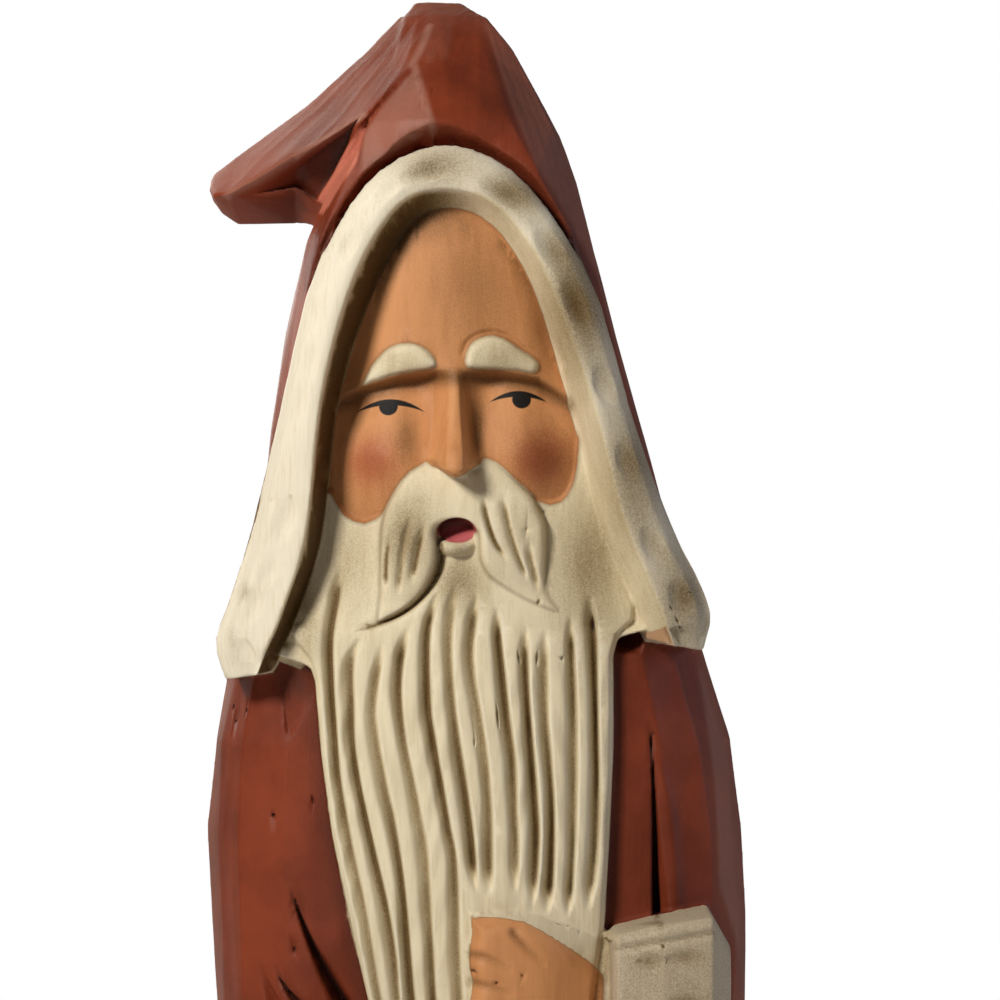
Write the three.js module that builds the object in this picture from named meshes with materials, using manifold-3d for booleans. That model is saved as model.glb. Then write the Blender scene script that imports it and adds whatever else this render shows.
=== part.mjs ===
// A carved and painted santa figure, cut from one block of wood: a tall hood whose tip folds over to one
// side, a fur trim round the face, a long fluted beard, a plain robe with knife-cut folds, two folded hands in
// fur cuffs, a fur hem and a low base. It is one solid. Millimetres, +Z up, the front faces -Y, and the origin
// is the middle of the base's underside.
import * as THREE from 'three';
import { mergeVertices } from 'three/addons/utils/BufferGeometryUtils.js';
import Module from 'manifold-3d';

// Driving dimensions
const FIGURE_HEIGHT = 400; // top of the base to the peak of the hood
const BASE_WIDTH = 134;
const BASE_DEPTH = 110;
const BASE_HEIGHT = 12;
const BASE_BEVEL = 2.5;
const HEM_HEIGHT = 22; // fur band round the foot of the robe
const HEM_PROUD = 2.6;
const TRIM_PROUD = 3.4; // fur trim above the hood round it
const GROOVE_DEPTH = 2.8; // knife cut between the hood and its trim
const BEARD_GROOVE = 2.1; // depth of a V cut between two strands
const MOUSTACHE_PROUD = 3.0;
const FOLD_DEPTH = 4.6; // deepest V cut in the robe
const FINGER_GAP = 1.1; // depth of the cut between two fingers
const BEARD_STRANDS = 13;
const FINGERS = 4;

// The carving is laid out on a carver's pattern grid: the figure is 100 squares tall, and x, y and z below are
// in squares.
const SQUARE = FIGURE_HEIGHT / 100;
const squares = (mm) => mm / SQUARE;

const wasm = await Module();
wasm.setup();

const at = (x, y, z) => new THREE.Vector3(x * SQUARE, y * SQUARE, BASE_HEIGHT + z * SQUARE);
const mix = (a, b, t) => a + (b - a) * t;
const clamp = (t) => Math.min(1, Math.max(0, t));
const ease = (t) => clamp(t) * clamp(t) * (3 - 2 * clamp(t));
const hill = (distance, reach) => Math.exp(-((distance / reach) ** 2));

// Value at t of a profile given as [t, value, ...] stations, on straight lines between them.
function along(stations, t, column = 1) {
  const rising = stations[0][0] < stations[stations.length - 1][0];
  const list = rising ? stations : [...stations].reverse();
  if (t <= list[0][0]) return list[0][column];
  for (let i = 1; i < list.length; i += 1) {
    const [t0, t1] = [list[i - 1][0], list[i][0]];
    if (t <= t1) return mix(list[i - 1][column], list[i][column], (t - t0) / (t1 - t0));
  }
  return list[list.length - 1][column];
}

// A smooth curve through stations of any number of columns, resampled to count rows.
function smooth(stations, count) {
  const part = (first) => new THREE.CatmullRomCurve3(
    stations.map((s) => new THREE.Vector3(s[first] ?? 0, s[first + 1] ?? 0, s[first + 2] ?? 0)),
    false,
    'catmullrom',
    0.5,
  );
  const parts = [];
  for (let first = 0; first < stations[0].length; first += 3) parts.push(part(first));
  const rows = [];
  for (let i = 0; i < count; i += 1) {
    const t = i / (count - 1);
    rows.push(parts.flatMap((curve) => curve.getPoint(t).toArray()).slice(0, stations[0].length));
  }
  return rows;
}

// Closed solid from a triangle list, turned so that its faces point out.
function solid(points, triangles) {
  const geometry = new THREE.BufferGeometry().setFromPoints(points);
  geometry.setIndex(triangles);
  const merged = mergeVertices(geometry, 1e-4);
  const triVerts = new Uint32Array(merged.index.array);
  const made = new wasm.Manifold(
    new wasm.Mesh({ numProp: 3, vertProperties: merged.attributes.position.array, triVerts }),
  );
  if (made.volume() > 0) return made;
  for (let i = 0; i < triVerts.length; i += 3) {
    [triVerts[i + 1], triVerts[i + 2]] = [triVerts[i + 2], triVerts[i + 1]];
  }
  return new wasm.Manifold(
    new wasm.Mesh({ numProp: 3, vertProperties: merged.attributes.position.array, triVerts }),
  );
}

// Flat cap over a ring of points.
function capTriangles(ring, first, reversed) {
  const normal = new THREE.Vector3();
  ring.forEach((p, i) => normal.add(new THREE.Vector3().crossVectors(p, ring[(i + 1) % ring.length])));
  normal.normalize();
  const side = new THREE.Vector3(0, 0, 1).cross(normal);
  if (side.length() < 0.2) side.set(1, 0, 0);
  side.normalize();
  const up = new THREE.Vector3().crossVectors(normal, side);
  const flat = ring.map((p) => new THREE.Vector2(p.dot(side), p.dot(up)));
  return THREE.ShapeUtils.triangulateShape(flat, []).flatMap(([a, b, c]) => (
    reversed ? [first + a, first + c, first + b] : [first + a, first + b, first + c]
  ));
}

// Closed solid through rings of equally many points, with a flat cap at each end.
function loft(rings) {
  const count = rings[0].length;
  const triangles = [];
  for (let r = 0; r + 1 < rings.length; r += 1) {
    const [ring, above] = [rings[r], rings[r + 1]];
    for (let i = 0; i < count; i += 1) {
      const next = (i + 1) % count;
      const [a, b, c, d] = [r * count + i, r * count + next, (r + 1) * count + next, (r + 1) * count + i];
      const shortAC = ring[i].distanceTo(above[next]) <= ring[next].distanceTo(above[i]);
      if (shortAC) triangles.push(a, b, c, a, c, d);
      else triangles.push(a, b, d, b, c, d);
    }
  }
  triangles.push(...capTriangles(rings[0], 0, true));
  triangles.push(...capTriangles(rings[rings.length - 1], (rings.length - 1) * count, false));
  return solid(rings.flat(), triangles);
}

// The robe and sleeves: half widths left and right and depths front and back, by height in squares.
const ROBE_LEFT = [[0, 15.5], [5, 15.2], [14, 14.7], [26, 14.2], [34, 14.6], [40, 15.0], [47, 15.2],
  [54, 15.5], [57.5, 15.2], [60, 14.8], [63, 14.2], [68, 12]];
const ROBE_RIGHT = [[0, 15.5], [5, 15.2], [14, 14.7], [26, 14.2], [34, 14.6], [40, 15.1], [47, 15.2],
  [51, 15.1], [55.5, 14.7], [58, 14.3], [60, 13.7], [63, 12.7], [68, 11]];
const ROBE_FRONT = [[0, 11], [5, 10.5], [14, 9.9], [26, 9.3], [36, 8.9], [48, 8.5], [56, 8.3], [64, 8.1],
  [68, 7.8]];
const ROBE_BACK = [[0, 10.8], [5, 10.4], [14, 9.8], [26, 9.3], [40, 9.4], [52, 9.3], [60, 9.1], [68, 8]];
const ROBE_LEVELS = [0, 7, 14, 22, 30, 36, 42, 48, 53, 58, 63, 68];
// Corner of a section as shares of its half width and depth: a flat face, a knife bevel and a flat side.
const FRONT_CORNER = [[0, 1], [0.25, 1], [0.5, 0.985], [0.7, 0.93], [0.86, 0.76], [0.955, 0.42], [1, 0]];
const BACK_CORNER = [[1, 0], [0.965, 0.4], [0.88, 0.7], [0.72, 0.88], [0.48, 0.97], [0.22, 1]];
const KNIFE = 0.12; // how far one knife facet stands off the next

// The same small irregular offset each time, for facet i of level j.
const knife = (i, j) => KNIFE * Math.sin(i * 2.39 + 1.3 * Math.sin(j * 1.7 + i));

function cornerSection(left, right, front, back) {
  const rightFront = FRONT_CORNER.map(([x, y]) => [x * right, -y * front]);
  const rightBack = BACK_CORNER.slice(1).map(([x, y]) => [x * right, y * back]);
  const leftBack = [...BACK_CORNER].reverse().map(([x, y]) => [-x * left, y * back]);
  const leftFront = [...FRONT_CORNER].reverse().slice(1, -1).map(([x, y]) => [-x * left, -y * front]);
  return [...rightFront, ...rightBack, ...leftBack, ...leftFront];
}

function robeSection(z, grow = 0) {
  return cornerSection(
    along(ROBE_LEFT, z) + grow,
    along(ROBE_RIGHT, z) + grow,
    along(ROBE_FRONT, z) + grow,
    along(ROBE_BACK, z) + grow,
  );
}

function carveRobe() {
  return loft(ROBE_LEVELS.map((z, j) => robeSection(z).map(([x, y], i) => {
    const reach = Math.hypot(x, y);
    const share = 1 + knife(i, j) / reach;
    return at(x * share, y * share, z);
  })));
}

// Point and outward direction on the robe, turn degrees round from the front towards the viewer's right.
function onRobe(turn, z) {
  const [dx, dy] = [Math.sin(THREE.MathUtils.degToRad(turn)), -Math.cos(THREE.MathUtils.degToRad(turn))];
  const section = robeSection(z);
  for (let i = 0; i < section.length; i += 1) {
    const [[ax, ay], [bx, by]] = [section[i], section[(i + 1) % section.length]];
    const [ex, ey] = [bx - ax, by - ay];
    const cross = dx * ey - dy * ex;
    if (cross === 0) continue;
    const reach = (ax * ey - ay * ex) / cross;
    const share = (ax * dy - ay * dx) / cross;
    if (reach > 0 && share >= 0 && share <= 1) {
      const out = new THREE.Vector3(ey, -ex, 0).normalize();
      return { x: dx * reach, y: dy * reach, out };
    }
  }
  throw new Error('no robe surface there');
}

// A V cut down the robe through [turn, height] stations, that starts as a point and opens downwards.
function foldCut({ path, width }) {
  const rows = smooth(path, 3 * path.length);
  const rings = rows.map(([turn, z], i) => {
    const open = ease(mix(0.12, 1, i / (rows.length - 1)));
    const { x, y, out } = onRobe(turn, z);
    const [last, coming] = [rows[Math.max(0, i - 1)], rows[Math.min(rows.length - 1, i + 1)]];
    const [before, after] = [onRobe(...last), onRobe(...coming)];
    const run = at(after.x, after.y, coming[1]).sub(at(before.x, before.y, last[1])).normalize();
    const side = new THREE.Vector3().crossVectors(run, out).normalize();
    const surface = at(x, y, z);
    const lift = 0.9 * SQUARE;
    const cut = FOLD_DEPTH * open;
    const half = 0.5 * width * open * SQUARE * ((cut + lift) / cut);
    return [
      surface.clone().addScaledVector(out, lift).addScaledVector(side, half),
      surface.clone().addScaledVector(out, lift).addScaledVector(side, -half),
      surface.clone().addScaledVector(out, -cut),
    ];
  });
  return loft(rings);
}

// Between the right sleeve and the body, and the creases inside the left elbow.
const ARM_CUTS = [
  { path: [[50.5, 59], [51, 54], [51.5, 48], [51.5, 42]], width: 1.3 },
  { path: [[-52.6, 50], [-48, 47], [-41.5, 44], [-37, 41]], width: 1.6 },
  { path: [[-60, 46.3], [-57, 44.3], [-52, 42]], width: 1.3 },
];
const ROBE_FOLDS = [
  { path: [[-14, 27], [-15, 18], [-15.5, 6], [-16, -1]], width: 2.0 },
  { path: [[5, 30], [5.5, 18], [6, 6], [6, -1]], width: 2.2 },
  { path: [[27, 24], [25.5, 15], [25, 6], [25, -1]], width: 1.9 },
  { path: [[-37, 33], [-38, 20], [-38.5, 7], [-38.5, -1]], width: 2.1 },
  { path: [[49, 34], [47.5, 20], [46.5, 7], [46, -1]], width: 2.1 },
  { path: [[-66, 31], [-65, 18], [-64.5, -1]], width: 1.8 },
  { path: [[71, 30], [69, 18], [68, -1]], width: 1.8 },
  { path: [[100, 47], [99, 30], [98, 12], [98, -1]], width: 2.0 },
  { path: [[-101, 44], [-100, 30], [-98, 12], [-98, -1]], width: 2.0 },
  { path: [[128, 36], [129, 22], [130, -1]], width: 2.0 },
  { path: [[-127, 40], [-130, 22], [-131, -1]], width: 2.0 },
  { path: [[152, 52], [153, 30], [155, 12], [155, -1]], width: 2.2 },
  { path: [[-154, 42], [-155, 22], [-156, -1]], width: 2.0 },
  { path: [[179, 56], [178, 34], [179, 12], [179, -1]], width: 2.2 },
];

// The hood: left and right edges, front and back, by height in squares.
const HOOD_LEFT = [[61.4, -14.5], [62.6, -14.9], [64.2, -14.7], [66, -14.0], [68.2, -12.9], [70.5, -12.35],
  [74, -12.1], [78.4, -11.6], [83, -10.55], [87.2, -9.6], [90, -7.9], [92.4, -6.4], [96, -5.2],
  [98.8, -4.5], [100, -3.7]];
const HOOD_RIGHT = [[61.4, 12.3], [63.2, 12.7], [66, 12.7], [68.2, 12.0], [70, 11.0], [71.6, 10.3],
  [76.2, 9.1], [80.7, 7.9], [85.3, 6.8], [89.9, 5.5], [92.2, 4.6], [94.5, 3.5], [96.7, 2.3], [97.9, 1.5],
  [99, 0.5], [100, -1.1]];
const HOOD_FRONT = [[61.4, 8.9], [70, 9.0], [80, 9.1], [88, 9.3], [92.3, 9.5], [94.6, 7.5], [97, 5.0],
  [99, 2.4], [100, 0.6]];
const HOOD_BACK = [[61.4, 10.2], [63.5, 10.2], [67, 9.6], [73, 9.2], [82, 9.1], [88, 8.2], [93, 6.0],
  [96.5, 3.8], [98.8, 2.1], [100, 1.0]];
const HOOD_LEVELS = [61.4, 63.2, 66.5, 70.5, 75.5, 81, 86, 89.6, 92.3, 94.6, 97, 99, 100];
const HOOD_RIDGE = -2.75; // the two knife ridges that run up the front of the hood
const HOOD_TILT = 1.5; // the hood's lower edge is higher on the right
const HOOD_LIFT = 1.4; // and higher at the front, behind the trim

function hoodSection(z) {
  const [left, right, front, back] = [HOOD_LEFT, HOOD_RIGHT, HOOD_FRONT, HOOD_BACK].map((p) => along(p, z));
  const middle = (left + right) / 2;
  const ridge = mix(middle, HOOD_RIDGE, ease((z - 88) / 5));
  const bevel = mix(0.86, 0.62, ease((z - 84) / 8));
  const x = (share) => mix(ridge, share > 0 ? right : left, Math.abs(share));
  return [
    [x(0), -front],
    [x(0.16), -front * 0.995],
    [x(bevel), -front * mix(0.93, 0.8, ease((z - 88) / 8))],
    [x(0.95), -front * 0.5],
    [x(1), 0],
    [x(0.93), back * 0.52],
    [x(0.66), back * 0.88],
    [x(0.2), back],
    [x(-0.26), back * 0.98],
    [x(-0.7), back * 0.84],
    [x(-0.94), back * 0.46],
    [x(-1), 0],
    [x(-0.97), -front * 0.55],
    [x(-0.86), -front * mix(0.9, 0.72, ease((z - 88) / 8))],
    [x(-0.45), -front * mix(0.99, 0.9, ease((z - 88) / 8))],
  ];
}

function carveHood() {
  return loft(HOOD_LEVELS.map((z, j) => hoodSection(z).map(([x, y], i) => {
    const tilt = j === 0 ? (HOOD_TILT * (x + 14.5)) / 27 + (HOOD_LIFT * Math.max(0, -y)) / 9 : 0;
    const share = 1 + (0.8 * knife(i, j)) / Math.hypot(x + 2, y);
    return at((x + 2) * share - 2, y * share, z + tilt);
  })));
}

// The hood's tip, folded over to the left: a wedge with a ridge on top and a knife edge along its front.
const TIP_RINGS = [
  [[-1.6, -0.6, 98.6], [-2.2, -4.2, 95.4], [-1.6, -2.0, 88], [-1.6, 2.4, 93]],
  [[-4.5, -0.7, 99.2], [-3.5, -5.7, 96.1], [-6.6, -3.0, 87.4], [-4.6, 3.4, 94.4]],
  [[-6.7, -0.9, 96.9], [-6.4, -7.9, 92.4], [-8.2, -2.8, 86.9], [-6.6, 4.2, 92.4]],
  [[-9.8, -1.0, 94.1], [-10.1, -6.3, 90.8], [-10.4, -1.4, 87.25], [-9.8, 3.7, 90.8]],
  [[-13.9, -0.9, 91.1], [-14.0, -4.4, 88.75], [-13.7, -1.2, 87.2], [-13.8, 2.5, 89.2]],
  [[-15.1, -0.8, 90.2], [-15.0, -3.4, 88.7], [-14.6, -1.2, 87.8], [-14.9, 1.6, 89.1]],
  [[-15.35, -0.8, 89.7], [-15.3, -2.0, 89.1], [-15.2, -1.0, 88.6], [-15.3, 0.7, 89.1]],
];

// Each row of the fur trim: outer edge x and z, inner edge x and z, front of the outer and of the inner edge,
// and how far the inner wall slopes in towards the face.
const TRIM_STATIONS = [
  [-13.9, 61.7, -12.1, 62.0, 8.6, 9.6, 0.7],
  [-14.35, 63.7, -11.6, 63.3, 8.7, 9.8, 0.8],
  [-13.55, 66.1, -10.7, 65.4, 9.0, 10, 0.8],
  [-12.2, 70.4, -9.35, 69.8, 9.3, 10.1, 0.8],
  [-10.6, 77.3, -8.55, 77, 9.8, 10.2, 0.85],
  [-8.9, 84.1, -6.95, 83.2, 9.9, 10.2, 1.2],
  [-5.9, 89.2, -4.5, 87.5, 9.9, 10.1, 1.45],
  [-1.8, 91.05, -1.8, 88.5, 9.9, 10, 1.55],
  [2.4, 89.2, 1, 87.55, 9.9, 10.1, 1.35],
  [6.1, 83.65, 3.6, 84, 9.9, 10.2, 1.1],
  [8.25, 76.5, 6.2, 76.9, 9.8, 10.2, 1.15],
  [10.35, 70.5, 7.8, 70.9, 9.4, 10.1, 1.4],
  [11.95, 67.2, 9.3, 67.2, 9.2, 10, 1.5],
  [12.65, 65.2, 10.1, 65.2, 9.0, 9.9, 1.55],
  [12.35, 63.3, 10.7, 63.6, 8.8, 9.7, 1.5],
];
const TRIM_ROWS = 39;
const WALL_FOOT = 7; // front of the skin where it meets the trim's inner wall

function carveTrim() {
  const rows = smooth(TRIM_STATIONS, TRIM_ROWS);
  const proud = squares(TRIM_PROUD);
  return loft(rows.map(([ox, oz, ix, iz, outerFront, innerFront, splay], i) => {
    const end = ease(Math.min(i, TRIM_ROWS - 1 - i) / 3);
    const width = Math.hypot(ix - ox, iz - oz);
    const [nx, nz] = [(ix - ox) / width, (iz - oz) / width];
    const crown = (mix(outerFront, innerFront, 0.5) + 0.35) * mix(0.94, 1, end);
    const across = (share, front) => at(mix(ox, ix, share), -front, mix(oz, iz, share));
    return [
      across(-0.04, (outerFront - proud) * mix(0.8, 1, end)),
      across(0, outerFront * mix(0.92, 1, end)),
      across(0.25, crown),
      across(0.75, crown + 0.05),
      across(1, innerFront * mix(0.94, 1, end)),
      at(ix + nx * splay, -WALL_FOOT, iz + nz * splay),
      at(ix + nx * splay, -4.6, iz + nz * splay),
      across(0.1, 4.2),
    ];
  }));
}

// Front of the hood at x, z.
function hoodFront(x, z) {
  const front = hoodSection(z).filter(([, y]) => y <= 0).sort((a, b) => a[0] - b[0]);
  return -along(front, x);
}

// The knife cut that parts the hood from its trim, down to the shoulders.
function trimGroove() {
  const deep = squares(GROOVE_DEPTH);
  return loft(smooth(TRIM_STATIONS.slice(3, 12), 21).map(([ox, oz, ix, iz]) => {
    const length = Math.hypot(ox - ix, oz - iz);
    const [nx, nz] = [(ox - ix) / length, (oz - iz) / length];
    const surface = hoodFront(ox, oz);
    const wide = mix(0.35, 0.75, ease((oz - 78) / 10)) * (1 + 1 / deep);
    return [
      at(ox + nx * wide, -surface - 1, oz + nz * wide),
      at(ox - nx * 0.5, -surface - 1, oz - nz * 0.5),
      at(ox - nx * 0.5, -surface + deep, oz - nz * 0.5),
      at(ox, -surface + deep, oz),
    ];
  }));
}

// Hollow in the front of the hood that the face and beard are set into, along the middle of the trim.
function faceHollow() {
  const rows = smooth(TRIM_STATIONS, 25).map(([ox, oz, ix, iz]) => [mix(ox, ix, 0.6), mix(oz, iz, 0.6)]);
  const outline = [[rows[0][0], 58], ...rows, [rows[rows.length - 1][0], 58]];
  const ring = (y) => outline.map(([x, z]) => at(x, y, z));
  return loft([ring(-20), ring(-5.4)]);
}

// Edges of the face and beard by height in squares, where they meet the trim's wall or the robe.
const FACE_LEFT = [[88.4, -3.3], [86.9, -4.0], [85.6, -5.0], [82.6, -6.5], [79.6, -7.7], [77.1, -8.3],
  [74.9, -8.6], [71.6, -9.0], [68.2, -9.4]];
const FACE_RIGHT = [[88.4, -0.2], [86.4, 1.0], [85.6, 1.9], [84.2, 3.0], [82.6, 3.8], [79.3, 5.2], [76, 6.1],
  [74.3, 6.4], [71.6, 6.9], [69.3, 7.6], [68.2, 8.0]];
// Heights of the rows the face is cut in, and its columns as shares of the way from the nose to each edge.
const FACE_ROWS = [88.3, 86.8, 85, 83, 81.2, 79.9, 79.1, 78.8, 78.35, 77.8, 77, 76.1, 75.2, 74.3, 73.4, 72.9,
  72.5, 71.8, 70.6, 69.4, 68.4];
const FACE_COLUMNS = [0.04, 0.11, 0.17, 0.24, 0.34, 0.46, 0.6, 0.74, 0.88, 1];
const FACE_MIDDLE = -1.2;
const BROW_LINE = [[-8.2, 77.2], [-6.75, 77.8], [-4.3, 78.5], [-2.3, 78.8], [-0.4, 78.8], [1.2, 78.75],
  [3.3, 78.4], [4.8, 77.4], [6, 76.8]];

// How far the face stands forward at x, z: forehead, brow shelf, eye hollows, cheeks and nose.
function faceFront(x, z) {
  const off = x - FACE_MIDDLE;
  const skull = 7.15 + 1.15 * (1 - (off / 8.2) ** 2) * ease((89 - z) / 5);
  const under = ease((along(BROW_LINE, x) - z) / 0.7);
  const socket = 0.75 * under * (1 - 0.8 * ease((77 - z) / 3.2)) * (1 - 0.65 * hill(off, 1.1));
  const leftCheek = 0.95 * hill(Math.hypot(x + 5.2, (z - 73.9) * 0.85), 2.5);
  const rightCheek = 0.95 * hill(Math.hypot(x - 3.1, (z - 74.2) * 0.85), 2.5);
  const leftEye = 0.3 * hill(Math.hypot(x + 4.9, (z - 76.3) * 1.4), 1.5);
  const rightEye = 0.3 * hill(Math.hypot(x - 2.4, (z - 76.6) * 1.4), 1.5);
  const down = clamp((78.9 - z) / 5.6);
  const noseWidth = mix(0.75, 1.35, down * down);
  const nose = (0.35 + 2.0 * down) * hill(off, noseWidth) * ease((79.4 - z) / 0.9) * ease((z - 72.5) / 0.5);
  return skull - socket + leftCheek + rightCheek + leftEye + rightEye + nose;
}

function carveFace() {
  const shares = [...FACE_COLUMNS.map((share) => -share).reverse(), ...FACE_COLUMNS];
  return loft(FACE_ROWS.map((row) => {
    const [left, right] = [along(FACE_LEFT, row), along(FACE_RIGHT, row)];
    const front = shares.map((share) => {
      const x = FACE_MIDDLE + share * (share < 0 ? FACE_MIDDLE - left : right - FACE_MIDDLE);
      const z = row + (along(BROW_LINE, x) - 78.8) * hill(row - 78.6, 2.6);
      return at(x, -faceFront(x, z), z);
    });
    return [...front, at(right, -4.8, row), at(left, -4.8, row)];
  }));
}

// A brow: a lens of hair on the brow shelf, from its inner to its outer end.
function carveBrow(stations) {
  return loft(smooth(stations, 7).map(([x, low, high]) => {
    const shelf = (z) => faceFront(x, Math.max(z, along(BROW_LINE, x) + 0.15));
    const middle = (low + high) / 2;
    return [
      at(x, -shelf(low) + 1.2, low),
      at(x, -shelf(low) - 0.1, low),
      at(x, -shelf(middle) - 0.42, middle),
      at(x, -shelf(high) - 0.05, high),
      at(x, -shelf(high) + 1.2, high),
    ];
  }));
}
const LEFT_BROW = [[-2.35, 78.9, 79.5], [-3.0, 78.75, 80.1], [-4.5, 78.4, 80.15], [-5.9, 77.9, 79.4],
  [-6.9, 77.3, 77.9]];
const RIGHT_BROW = [[-0.55, 79, 79.8], [0.3, 78.9, 80.6], [1.4, 78.85, 80.65], [2.6, 78.7, 79.9],
  [3.5, 78.55, 79.0]];

// Edges of the beard by height, and how far it stands forward at its middle and at its edges.
const BEARD_LEFT = [[73, -8.9], [71.6, -8.8], [68.2, -9.2], [65.8, -10.0], [64.6, -10.7], [63.9, -10.2],
  [62.9, -9.35], [61.6, -8.95], [57.6, -8.6], [53.2, -8.0], [50, -7.3], [47.2, -6.7], [42.9, -5.7],
  [38, -4.4], [34, -2.9], [31.2, -1.3]];
const BEARD_RIGHT = [[73, 6.7], [71.6, 6.9], [69.3, 7.6], [65.8, 8.7], [65, 8.6], [64.2, 7.7], [63, 7.4],
  [58, 7.4], [53.5, 7.2], [48.5, 6.9], [43, 6.1], [38, 4.6], [34, 2.6], [31.2, 0.7]];
// The outermost strands run straighter than the edge, which bends out round the robe's shoulders.
const STRANDS_LEFT = [[73, -8.5], [66, -9.3], [62, -9.0], ...BEARD_LEFT.filter(([z]) => z < 60)];
const STRANDS_RIGHT = [[73, 6.3], [66, 7.2], [62, 7.3], ...BEARD_RIGHT.filter(([z]) => z < 60)];
const BEARD_MIDDLE = [[73, 8.3], [68, 8.9], [62, 9.9], [54, 10.5], [46, 10.8], [38, 10.7], [31.2, 10.2]];
const BEARD_EDGE = [[73, 7.2], [68, 7.4], [65, 8.0], [63, 8.7], [54, 9.1], [44, 9.6], [31.2, 9.7]];
const BEARD_LEVELS = [73, 71, 69, 67.4, 66, 64.9, 64.1, 63.2, 61.8, 59.8, 57, 54, 51, 48, 45, 42, 39, 36,
  33.4, 31.2];

// The V cuts between the strands start under the moustache, lower at the sides, and fade behind the hand.
function grooveShare(u, z) {
  const start = 67.2 - 3.4 * Math.abs(u - 0.52) - 1.2 * Math.sin(u * 23) ** 2;
  const sideStart = u < 0.16 || u > 0.86 ? 68.4 : start;
  const fade = u > 0.42 ? ease((z - 49.3) / 2) : 1;
  const returned = u > 0.42 ? ease((41 - z) / 2) : 0;
  return ease((sideStart - z) / 3.2) * Math.max(fade, returned);
}

function carveBeard() {
  const shares = [0, 0.012];
  for (let s = 0; s < BEARD_STRANDS; s += 1) {
    const [from, to] = [s / BEARD_STRANDS, (s + 1) / BEARD_STRANDS];
    const uneven = 0.1 * Math.sin(s * 2.1);
    shares.push(mix(from, to, 0.3 + uneven), mix(from, to, 0.72 + uneven));
    if (s + 1 < BEARD_STRANDS) shares.push(to);
  }
  shares.push(0.988, 1);
  const isGroove = (k) => k >= 4 && k < shares.length - 2 && (k - 4) % 3 === 0;
  const deep = squares(BEARD_GROOVE);
  const rings = BEARD_LEVELS.map((z, row) => {
    const [left, right] = [along(BEARD_LEFT, z), along(BEARD_RIGHT, z)];
    const [strandLeft, strandRight] = [along(STRANDS_LEFT, z), along(STRANDS_RIGHT, z)];
    const [middle, edge] = [along(BEARD_MIDDLE, z), along(BEARD_EDGE, z)];
    const last = row === BEARD_LEVELS.length - 1;
    const front = shares.map((u, k) => {
      const bulge = mix(edge, middle, 1 - (2 * u - 1) ** 2);
      const strand = isGroove(k) ? -deep * grooveShare(u, z) : 0;
      const rim = k === 0 || k === shares.length - 1 ? -0.35 : 0;
      const onEdge = k < 2 || k > shares.length - 3;
      const x = onEdge ? mix(left, right, u) : mix(strandLeft, strandRight, u);
      return at(x, -(bulge + strand + rim) + (last ? 0.6 : 0), z);
    });
    return [...front, at(right, -5, z), at(left, -5, z)];
  });
  return loft(rings);
}

// One half of the moustache: rows of inner edge x, z and outer edge x, z from under the nose to the tip.
const MOUSTACHE_LEFT = [
  [-1.0, 72.95, -2.7, 73.75, 8.75],
  [-1.1, 72.0, -4.1, 72.9, 9.05],
  [-1.2, 71.0, -5.0, 71.7, 9.3],
  [-1.9, 70.1, -5.3, 70.4, 9.35],
  [-2.35, 69.2, -5.4, 69.1, 9.35],
  [-2.15, 68.2, -5.4, 67.8, 9.3],
  [-2.7, 66.9, -5.4, 66.5, 9.3],
  [-4.0, 65.8, -5.55, 65.5, 9.25],
  [-5.7, 64.95, -5.8, 65.05, 9.0],
];
const MOUSTACHE_RIGHT = [
  [-1.2, 72.95, 0.7, 73.75, 8.75],
  [-1.2, 72.0, 2.0, 72.9, 9.05],
  [-1.1, 71.0, 2.95, 71.8, 9.3],
  [-0.5, 70.1, 3.5, 70.6, 9.35],
  [-0.05, 69.2, 3.65, 69.4, 9.35],
  [0.2, 68.1, 3.75, 68.2, 9.3],
  [1.15, 66.95, 3.75, 67.0, 9.3],
  [2.7, 66.1, 3.85, 66.3, 9.25],
  [4.25, 65.55, 4.35, 65.7, 9.0],
];
const MOUSTACHE_STRANDS = 4;

function carveMoustache(stations) {
  const rows = smooth(stations, 11);
  const shares = [0];
  for (let s = 0; s < MOUSTACHE_STRANDS; s += 1) {
    shares.push((s + 0.32) / MOUSTACHE_STRANDS, (s + 0.72) / MOUSTACHE_STRANDS, (s + 1) / MOUSTACHE_STRANDS);
  }
  const proud = squares(MOUSTACHE_PROUD);
  return loft(rows.map(([ix, iz, ox, oz, level], i) => {
    const t = i / (rows.length - 1);
    const cut = 0.28 * ease((t - 0.3) / 0.25) * ease((1.05 - t) / 0.2);
    const front = shares.map((u, k) => {
      const round = 1 - (2 * u - 1) ** 4;
      const groove = k > 0 && k < shares.length - 1 && k % 3 === 0 ? cut : 0;
      return at(mix(ix, ox, u), -(level - 0.3 + proud * 0.62 * round - groove), mix(iz, oz, u));
    });
    return [...front, at(ox, -6, oz), at(ix, -6, iz)];
  }));
}

// The open mouth: an oval hollow, and a lip under it.
const MOUTH = { x: -1.16, z: 69.97, halfWidth: 1.12, halfHeight: 0.78, floor: 7.4 };
function mouthHollow() {
  const ring = (grow, y) => {
    const points = [];
    for (let i = 0; i < 12; i += 1) {
      const turn = (i * Math.PI) / 6;
      const x = MOUTH.x + MOUTH.halfWidth * grow * Math.cos(turn);
      points.push(at(x, y, MOUTH.z + MOUTH.halfHeight * grow * Math.sin(turn)));
    }
    return points;
  };
  return loft([ring(1.25, -12), ring(0.85, -MOUTH.floor)]);
}

function carveLip() {
  return loft([-0.85, -0.5, 0, 0.5, 0.85].map((share) => {
    const [x, drop] = [MOUTH.x + share, 0.35 * share * share];
    return [
      at(x, -8, MOUTH.z - 0.7 + drop),
      at(x, -9.5, MOUTH.z - 0.75 + drop),
      at(x, -9.6, MOUTH.z - 1.15 + drop * 0.6),
      at(x, -8, MOUTH.z - 1.5),
    ];
  }));
}

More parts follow.
